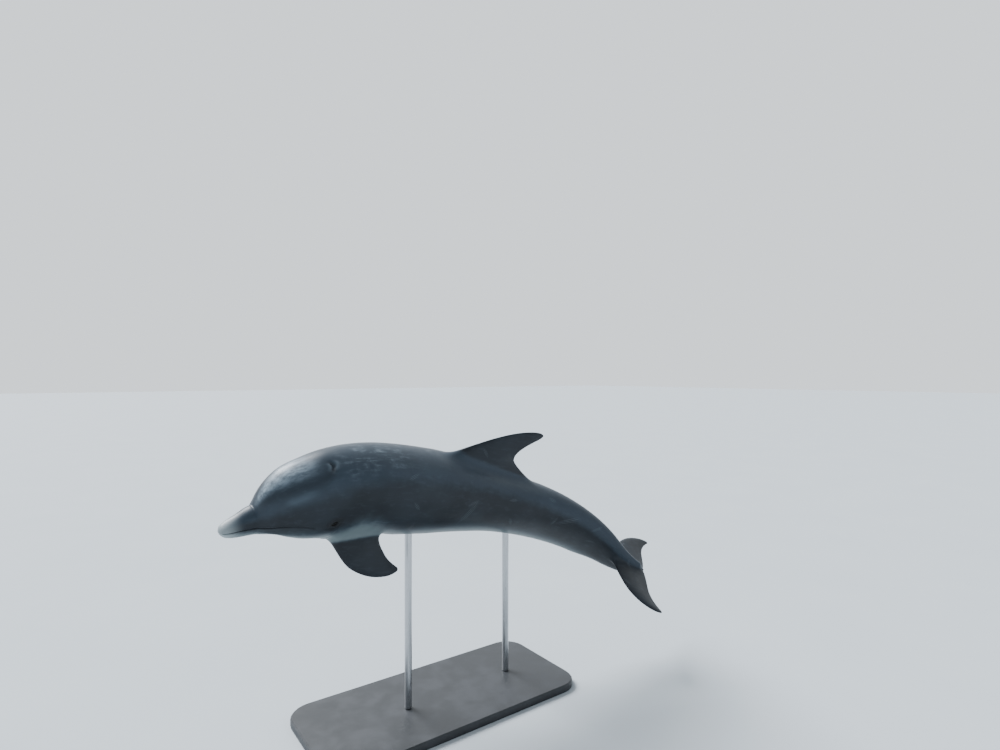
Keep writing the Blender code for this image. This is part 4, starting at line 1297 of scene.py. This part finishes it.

# %% [markdown]
# The mouth line, the lid margins and the blowhole's slit are painted nearly black as shade in these
# creases, and go on last. Damp skin is a poor mirror. Its IOR is that of living tissue, a little
# above water's, its reflection is turned down below the usual half, and a thin coat stands for the
# film of damp on it.

# %% Painted shade in the creases, and sheen
# Painted shade: the mouth line, the blowhole's slit and the lid margins are darkened as creases.
CREASE_SHADE = "#0b0f13"
CREASE_SHADE_STRENGTH = 0.85
SKIN_SHEEN = {"IOR": 1.42, "Specular IOR Level": 0.32, "Coat Weight": 0.07, "Coat Roughness": 0.28}
for name in ("groove_shade", "lid"):
    share = add_node(tree, "ShaderNodeMath", {0: amount[name], 1: CREASE_SHADE_STRENGTH},
                     operation="MULTIPLY")
    colour = add_node(tree, "ShaderNodeMix", {0: share, 6: colour, 7: linear(CREASE_SHADE)},
                      data_type="RGBA")
tree.links.new(colour.outputs[2], shader.inputs["Base Color"])
damp = add_node(tree, "ShaderNodeMapRange", {0: noise["blotches"], 1: 0.3, 2: 0.7, 3: 0.36, 4: 0.48})
tree.links.new(damp.outputs[0], shader.inputs["Roughness"])
for name, value in SKIN_SHEEN.items():
    shader.inputs[name].default_value = value
print("sheen:", SKIN_SHEEN)

# %% [markdown]
# Under a close light real skin also has fine ridges round the body, about 0.4 mm apart. That is far
# too fine to show here, so they are drawn at 3 mm and very shallow.

# %% Fine relief
RIDGE_SPACING = 3 * MM
RIDGE_STRENGTH = 0.07
RELIEF_DEPTH = 0.25 * MM
ridges = add_node(tree, "ShaderNodeTexWave", {"Vector": rest_place, "Scale": 0.314 / RIDGE_SPACING,
                                              "Distortion": 1.5, "Detail": 2.0},
                  bands_direction="X")
faint = add_node(tree, "ShaderNodeMath", {0: ridges.outputs["Fac"], 1: RIDGE_STRENGTH},
                 operation="MULTIPLY")
relief = add_node(tree, "ShaderNodeMath", {0: faint, 1: noise["grain"]}, operation="ADD")
bump = add_node(tree, "ShaderNodeBump", {"Strength": 0.3, "Distance": RELIEF_DEPTH,
                                         "Height": relief})
tree.links.new(bump.outputs["Normal"], shader.inputs["Normal"])
skin.data.materials.append(skin_material)
print("ridges mm apart:", RIDGE_SPACING / MM, "skin nodes:", len(tree.nodes))

# %% [markdown]
# The finished skin takes the place of the twelve solid pieces of flesh. The eyeballs and the stand
# are not part of it.

# %% The skin stands for all the flesh
FLESH = ("upper_jaw", "lower_jaw", "head", "neck", "chest", "abdomen", "tail_stock", "dorsal_fin",
         "flipper_left", "flipper_right", "fluke_left", "fluke_right")
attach(skin, "root")
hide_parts(*FLESH)
print("pieces replaced by the skin:", len(FLESH))

# %% [markdown]
# ## Eyes
#
# The eyeball is 30 mm across and mostly hidden, with the clear cornea bulging slightly from it. It is
# built as rings round the line it looks along, close together at the front, where it shows. Each
# point keeps how far off that line it is, which the material uses to draw the iris and the pupil.

# %% Where an eyeball sits and which way it looks
def eye_axes(angle):
    """Centre of the ball and its directions: outward, toward the snout and up."""
    surface = plain_skin(BENT, EYE_PLACE, angle)
    middle = posed(BENT, EYE_PLACE, 0.0, float(middle_level(EYE_PLACE)))
    look = (surface - middle) / np.linalg.norm(surface - middle)
    centre = surface - look * (EYE_RADIUS - EYE_PROUD)
    ahead = plain_skin(BENT, EYE_PLACE - 0.004, angle) - surface
    ahead -= look * np.dot(ahead, look)
    ahead /= np.linalg.norm(ahead)
    upward = np.cross(look, ahead)
    return centre, look, ahead, upward if upward[2] >= 0 else -upward


EYE_ANGLES = {"eye_left": 0.0, "eye_right": math.radians(180.0)}
for name, angle in EYE_ANGLES.items():
    print(name, "centre", np.round(eye_axes(angle)[0], 3))

# %% Points of one eyeball
CORNEA_RADIUS = math.radians(34.0)
CORNEA_BULGE = 0.7 * MM
EYE_ROUND = 48
OFFS = np.radians(np.concatenate((np.linspace(0, 60, 31)[1:], np.linspace(60, 172, 16)[1:])))


def eyeball_points(angle):
    """Points from the front to the back, each with its own place on the eye."""
    centre, look, ahead, upward = eye_axes(angle)
    points, eye_places = [centre + look * (EYE_RADIUS + CORNEA_BULGE)], [(0.0, 0.0, 0.0)]
    for off in OFFS:
        reach = EYE_RADIUS + CORNEA_BULGE * float(bell(off, CORNEA_RADIUS * 0.7))
        for r in np.linspace(0, 2 * np.pi, EYE_ROUND, endpoint=False):
            flat = math.cos(r) * ahead + math.sin(r) * upward
            points.append(centre + reach * (math.cos(off) * look + math.sin(off) * flat))
            eye_places.append((math.sin(off) * math.cos(r), math.sin(off) * math.sin(r), off))
    points.append(centre - look * EYE_RADIUS)
    eye_places.append((0.0, 0.0, math.pi))
    return np.array(points), np.array(eye_places)


print("points of one eyeball:", len(eyeball_points(0.0)[0]))


# %% Mesh of one eyeball
def make_eyeball(name, angle):
    """One eyeball with its normals outward and its own places kept on its points."""
    points, eye_places = eyeball_points(angle)
    n, end = EYE_ROUND, len(points) - 1
    faces = [[0, 1 + k, 1 + (k + 1) % n] for k in range(n)]
    for i in range(len(OFFS) - 1):
        a, b = 1 + i * n, 1 + (i + 1) * n
        faces += [[a + k, b + k, b + (k + 1) % n, a + (k + 1) % n] for k in range(n)]
    last = end - n
    faces += [[last + k, end, last + (k + 1) % n] for k in range(n)]
    ball = make_mesh(name, points, faces)
    work = bmesh.new()
    work.from_mesh(ball.data)
    bmesh.ops.recalc_face_normals(work, faces=work.faces)
    work.to_mesh(ball.data)
    work.free()
    stored = ball.data.attributes.new("eye_place", "FLOAT_VECTOR", "POINT")
    stored.data.foreach_set("vector", eye_places.ravel())
    return ball


eyeballs = {name: make_eyeball("dolphin_" + name, angle) for name, angle in EYE_ANGLES.items()}
print("faces of one eyeball:", len(eyeballs["eye_left"].data.polygons))

# %% [markdown]
# A dolphin's iris is dark brown, with fine fibres, and in bright light its pupil closes from above to
# a low crescent. Beyond the iris the white is nearly black too. The cornea is wet, so it is almost as
# smooth as glass and gives one small highlight. Its IOR is 1.376.

# %% Wet eye: the iris, and the pupil as a crescent
IRIS_DARK, IRIS_BROWN = "#050403", "#0c0806"
EYE_WHITE = "#12100f"
PUPIL = "#030303"
# How far off the line of sight, in radians, the iris and the pupil fade out.
IRIS_EDGE = (0.50, 0.60)
PUPIL_EDGE = (0.30, 0.36)
# The pupil's upper edge: where it fades out in the middle, and how steeply it rises to the sides.
PUPIL_TOP = (-0.03, 0.02)
PUPIL_RISE = 1.6
eye_material = bpy.data.materials.new("wet_eye")
eye_material.use_nodes = True
tree = eye_material.node_tree
shader = tree.nodes["Principled BSDF"]
eye_vector = add_node(tree, "ShaderNodeAttribute", attribute_name="eye_place").outputs["Vector"]
axes = add_node(tree, "ShaderNodeSeparateXYZ", {0: eye_vector})
fibres = add_node(tree, "ShaderNodeTexNoise", {"Vector": eye_vector, "Scale": 26.0, "Detail": 4.0})
squared = add_node(tree, "ShaderNodeMath", {0: axes.outputs["X"], 1: 2.0}, operation="POWER")
curve = add_node(tree, "ShaderNodeMath", {0: squared, 1: PUPIL_RISE}, operation="MULTIPLY")
height = add_node(tree, "ShaderNodeMath", {0: axes.outputs["Y"], 1: curve}, operation="SUBTRACT")
low = add_node(tree, "ShaderNodeMapRange",
               {0: height, 1: PUPIL_TOP[0], 2: PUPIL_TOP[1], 3: 1.0, 4: 0.0})
near = add_node(tree, "ShaderNodeMapRange",
                {0: axes.outputs["Z"], 1: PUPIL_EDGE[0], 2: PUPIL_EDGE[1], 3: 1.0, 4: 0.0})
pupil = add_node(tree, "ShaderNodeMath", {0: low, 1: near}, operation="MULTIPLY")
white = add_node(tree, "ShaderNodeMapRange",
                 {0: axes.outputs["Z"], 1: IRIS_EDGE[0], 2: IRIS_EDGE[1]},
                 interpolation_type="SMOOTHSTEP")
iris_radius = EYE_RADIUS * math.sin(0.5 * (IRIS_EDGE[0] + IRIS_EDGE[1]))
print("iris width mm:", round(2 * iris_radius / MM, 1))

# %% Wet eye: colours and shine
colour = add_node(tree, "ShaderNodeMix", {0: fibres, 6: linear(IRIS_DARK), 7: linear(IRIS_BROWN)},
                  data_type="RGBA")
for share, code in ((white, EYE_WHITE), (pupil, PUPIL)):
    colour = add_node(tree, "ShaderNodeMix", {0: share, 6: colour, 7: linear(code)},
                      data_type="RGBA")
tree.links.new(colour.outputs[2], shader.inputs["Base Color"])
wet = add_node(tree, "ShaderNodeMapRange", {0: fibres, 1: 0.3, 2: 0.7, 3: 0.05, 4: 0.10})
tree.links.new(wet.outputs[0], shader.inputs["Roughness"])
shader.inputs["IOR"].default_value = 1.376
shader.inputs["Specular IOR Level"].default_value = 0.20
for name, ball in eyeballs.items():
    ball.data.materials.append(eye_material)
    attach(ball, "root")
    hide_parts(name)
    print(name, "is a", eye_material.name)

# %% [markdown]
# ## The stand
#
# The base is a thick aluminium plate, powder coated. Powder coat flows as it bakes and sets with a
# fine orange-peel ripple about 1 to 2 mm across, which breaks up its satin reflections. A little dust
# makes it lighter in soft patches. The shape is already right in the solid model, so the plate only
# needs its finish.

# %% Powder-coated plate
PLATE_GREY, PLATE_DUST = "#202225", "#2b2d31"
PEEL_SIZE = 1.6 * MM
PEEL_DEPTH = 0.15 * MM
DUST_SIZE = 90 * MM
plate_material = bpy.data.materials.new("powder_coated_aluminium")
plate_material.use_nodes = True
tree = plate_material.node_tree
shader = tree.nodes["Principled BSDF"]
spot = add_node(tree, "ShaderNodeTexCoord").outputs["Object"]
peel = add_node(tree, "ShaderNodeTexNoise", {"Vector": spot, "Scale": 1 / PEEL_SIZE, "Detail": 2.0})
dust = add_node(tree, "ShaderNodeTexNoise", {"Vector": spot, "Scale": 1 / DUST_SIZE, "Detail": 5.0})
dusty = add_node(tree, "ShaderNodeMapRange", {0: dust, 1: 0.4, 2: 0.7},
                 interpolation_type="SMOOTHSTEP")
colour = add_node(tree, "ShaderNodeMix", {0: dusty, 6: linear(PLATE_GREY), 7: linear(PLATE_DUST)},
                  data_type="RGBA")
satin = add_node(tree, "ShaderNodeMapRange", {0: dust, 1: 0.3, 2: 0.7, 3: 0.40, 4: 0.54})
rippled = add_node(tree, "ShaderNodeBump", {"Strength": 0.3, "Distance": PEEL_DEPTH, "Height": peel})
tree.links.new(colour.outputs[2], shader.inputs["Base Color"])
tree.links.new(satin.outputs[0], shader.inputs["Roughness"])
tree.links.new(rippled.outputs["Normal"], shader.inputs["Normal"])
shader.inputs["IOR"].default_value = 1.5
print("plate nodes:", len(tree.nodes))

# %% [markdown]
# The rods are stainless steel, brushed along their length, which stretches every highlight into a
# line. Real brushing is scratches about 0.1 mm wide. They are drawn about 1 mm wide and 60 mm long,
# since finer ones would not show.

# %% Brushed steel rods
STEEL_DARK, STEEL_LIGHT = "#a9abae", "#c9cbcd"
SCRATCH_WIDTH = 1.2 * MM
SCRATCH_STRETCH = 0.02
SCRATCH_DEPTH = 0.05 * MM
rod_material = bpy.data.materials.new("brushed_stainless_steel")
rod_material.use_nodes = True
tree = rod_material.node_tree
shader = tree.nodes["Principled BSDF"]
spot = add_node(tree, "ShaderNodeTexCoord").outputs["Object"]
drawn_out = add_node(tree, "ShaderNodeMapping",
                     {"Vector": spot, "Scale": (1.0, 1.0, SCRATCH_STRETCH)})
brushing = add_node(tree, "ShaderNodeTexNoise", {"Vector": drawn_out, "Scale": 1 / SCRATCH_WIDTH,
                                                 "Detail": 3.0})
colour = add_node(tree, "ShaderNodeMix", {0: brushing, 6: linear(STEEL_DARK),
                                          7: linear(STEEL_LIGHT)}, data_type="RGBA")
satin = add_node(tree, "ShaderNodeMapRange", {0: brushing, 1: 0.3, 2: 0.7, 3: 0.24, 4: 0.36})
scored = add_node(tree, "ShaderNodeBump", {"Strength": 0.15, "Distance": SCRATCH_DEPTH,
                                           "Height": brushing})
tree.links.new(colour.outputs[2], shader.inputs["Base Color"])
tree.links.new(satin.outputs[0], shader.inputs["Roughness"])
tree.links.new(scored.outputs["Normal"], shader.inputs["Normal"])
shader.inputs["Metallic"].default_value = 1.0
print("scratches mm:", SCRATCH_WIDTH / MM, "x", round(SCRATCH_WIDTH / SCRATCH_STRETCH / MM))

# %% [markdown]
# The stand's solid pieces stay as they are. Each only loses its plain material and gets its finish.

# %% Put the finishes on the stand
FINISHES = {"stand_base": plate_material, "stand_rod_front": rod_material,
            "stand_rod_rear": rod_material}
for name, finish in FINISHES.items():
    part = frame["nodes"][name]
    part.data.materials.clear()
    part.data.materials.append(finish)
    print(name, "is now", finish.name)

# %% [markdown]
# ## Floor, light and camera
#
# A museum would show the model on a pale floor in soft, even light. The floor is matt painted board,
# so rough that it shows no reflections, and its tone wanders a little, as paint does.

# %% Pale floor
FLOOR_HALF = 60.0
FLOOR_GAP = 0.5 * MM
FLOOR_TONES = ("#a9afb4", "#afb5b9")
floor_mesh = bpy.data.meshes.new("floor")
floor_mesh.from_pydata([(-FLOOR_HALF, -FLOOR_HALF, 0), (FLOOR_HALF, -FLOOR_HALF, 0),
                        (FLOOR_HALF, FLOOR_HALF, 0), (-FLOOR_HALF, FLOOR_HALF, 0)],
                       [], [(0, 1, 2, 3)])
floor = bpy.data.objects.new("floor", floor_mesh)
bpy.context.scene.collection.objects.link(floor)
floor_material = bpy.data.materials.new("pale_matt_floor")
floor_material.use_nodes = True
tree = floor_material.node_tree
shader = tree.nodes["Principled BSDF"]
spot = add_node(tree, "ShaderNodeTexCoord").outputs["Object"]
tone = add_node(tree, "ShaderNodeTexNoise", {"Vector": spot, "Scale": 1.5, "Detail": 3.0})
colour = add_node(tree, "ShaderNodeMix", {0: tone, 6: linear(FLOOR_TONES[0]),
                                          7: linear(FLOOR_TONES[1])}, data_type="RGBA")
tree.links.new(colour.outputs[2], shader.inputs["Base Color"])
shader.inputs["Roughness"].default_value = 0.9
floor.data.materials.append(floor_material)
floor.location.z = float(solid_box[0][2]) - FLOOR_GAP
print("floor half width m:", FLOOR_HALF)

# %% [markdown]
# One wide sun-like lamp shines down from ahead of the animal and a little behind its back, as
# daylight comes down through water. It brightens the melon, the beak and the back, and lets the near
# flank fall dark. It is 32 degrees across, so that its shadows have no edge.

# %% Daylight from above
from mathutils import Vector

SUN_FROM = Vector((-0.26, 0.60, 0.75))
SUN_STRENGTH = 8.5
SUN_ANGLE = 32.0
DAYLIGHT = "#f6faff"
sun_data = bpy.data.lights.new("daylight", "SUN")
sun_data.energy = SUN_STRENGTH
sun_data.angle = math.radians(SUN_ANGLE)
sun_data.color = linear(DAYLIGHT)[:3]
sun = bpy.data.objects.new("daylight", sun_data)
sun.rotation_euler = SUN_FROM.to_track_quat("Z", "Y").to_euler()
bpy.context.scene.collection.objects.link(sun)
print("sun comes from", tuple(round(v, 2) for v in SUN_FROM))

# %% [markdown]
# The pale surroundings fill the shadows. They are brightest on the side that the camera faces, like a
# lit backdrop, and darker behind the camera, like the room. The darker side is what the near flank
# mirrors, which keeps it deep.

# %% Backdrop and room
BACKDROP_TOWARD = (0.588, 0.809, 0.0)
BACKDROP, ROOM = "#dfe5ea", "#a0a9b1"
SURROUNDINGS_STRENGTH = 1.6
world = bpy.data.worlds.new("studio")
bpy.context.scene.world = world
world.use_nodes = True
tree = world.node_tree
direction = add_node(tree, "ShaderNodeTexCoord").outputs["Generated"]
facing = add_node(tree, "ShaderNodeVectorMath", {0: direction, 1: BACKDROP_TOWARD},
                  operation="DOT_PRODUCT")
lit = add_node(tree, "ShaderNodeMapRange", {0: facing.outputs["Value"], 1: -0.8, 2: 0.7},
               interpolation_type="SMOOTHSTEP")
colour = add_node(tree, "ShaderNodeMix", {0: lit, 6: linear(ROOM), 7: linear(BACKDROP)},
                  data_type="RGBA")
tree.links.new(colour.outputs[2], tree.nodes["Background"].inputs["Color"])
tree.nodes["Background"].inputs["Strength"].default_value = SURROUNDINGS_STRENGTH
print("backdrop is toward", BACKDROP_TOWARD)

# %% [markdown]
# The camera stands off the animal's left side, a little ahead of it, with a wide lens. It is held
# level at about the height of a person's eyes and looks partly along the body, toward the tail.

# %% Camera
CAMERA_PLACE = (-1.398, -2.3945, 1.502)
CAMERA_HEADING = 36.0
SENSOR_WIDTH = 36.0
LENS = 21.6
camera_data = bpy.data.cameras.new("camera")
camera_data.sensor_width = SENSOR_WIDTH
camera_data.lens = LENS
camera = bpy.data.objects.new("camera", camera_data)
camera.location = CAMERA_PLACE
camera.rotation_euler = (math.radians(90), 0.0, -math.radians(CAMERA_HEADING))
bpy.context.scene.collection.objects.link(camera)
bpy.context.scene.camera = camera
print("camera height m:", CAMERA_PLACE[2])

# %% [markdown]
# ## The size of the model
#
# The looks must not change the size of the model. The box of the solids is written out here.

# %% Write the box of the solids
print("solid", [tuple(round(float(v), 3) for v in c) for c in solid_box])
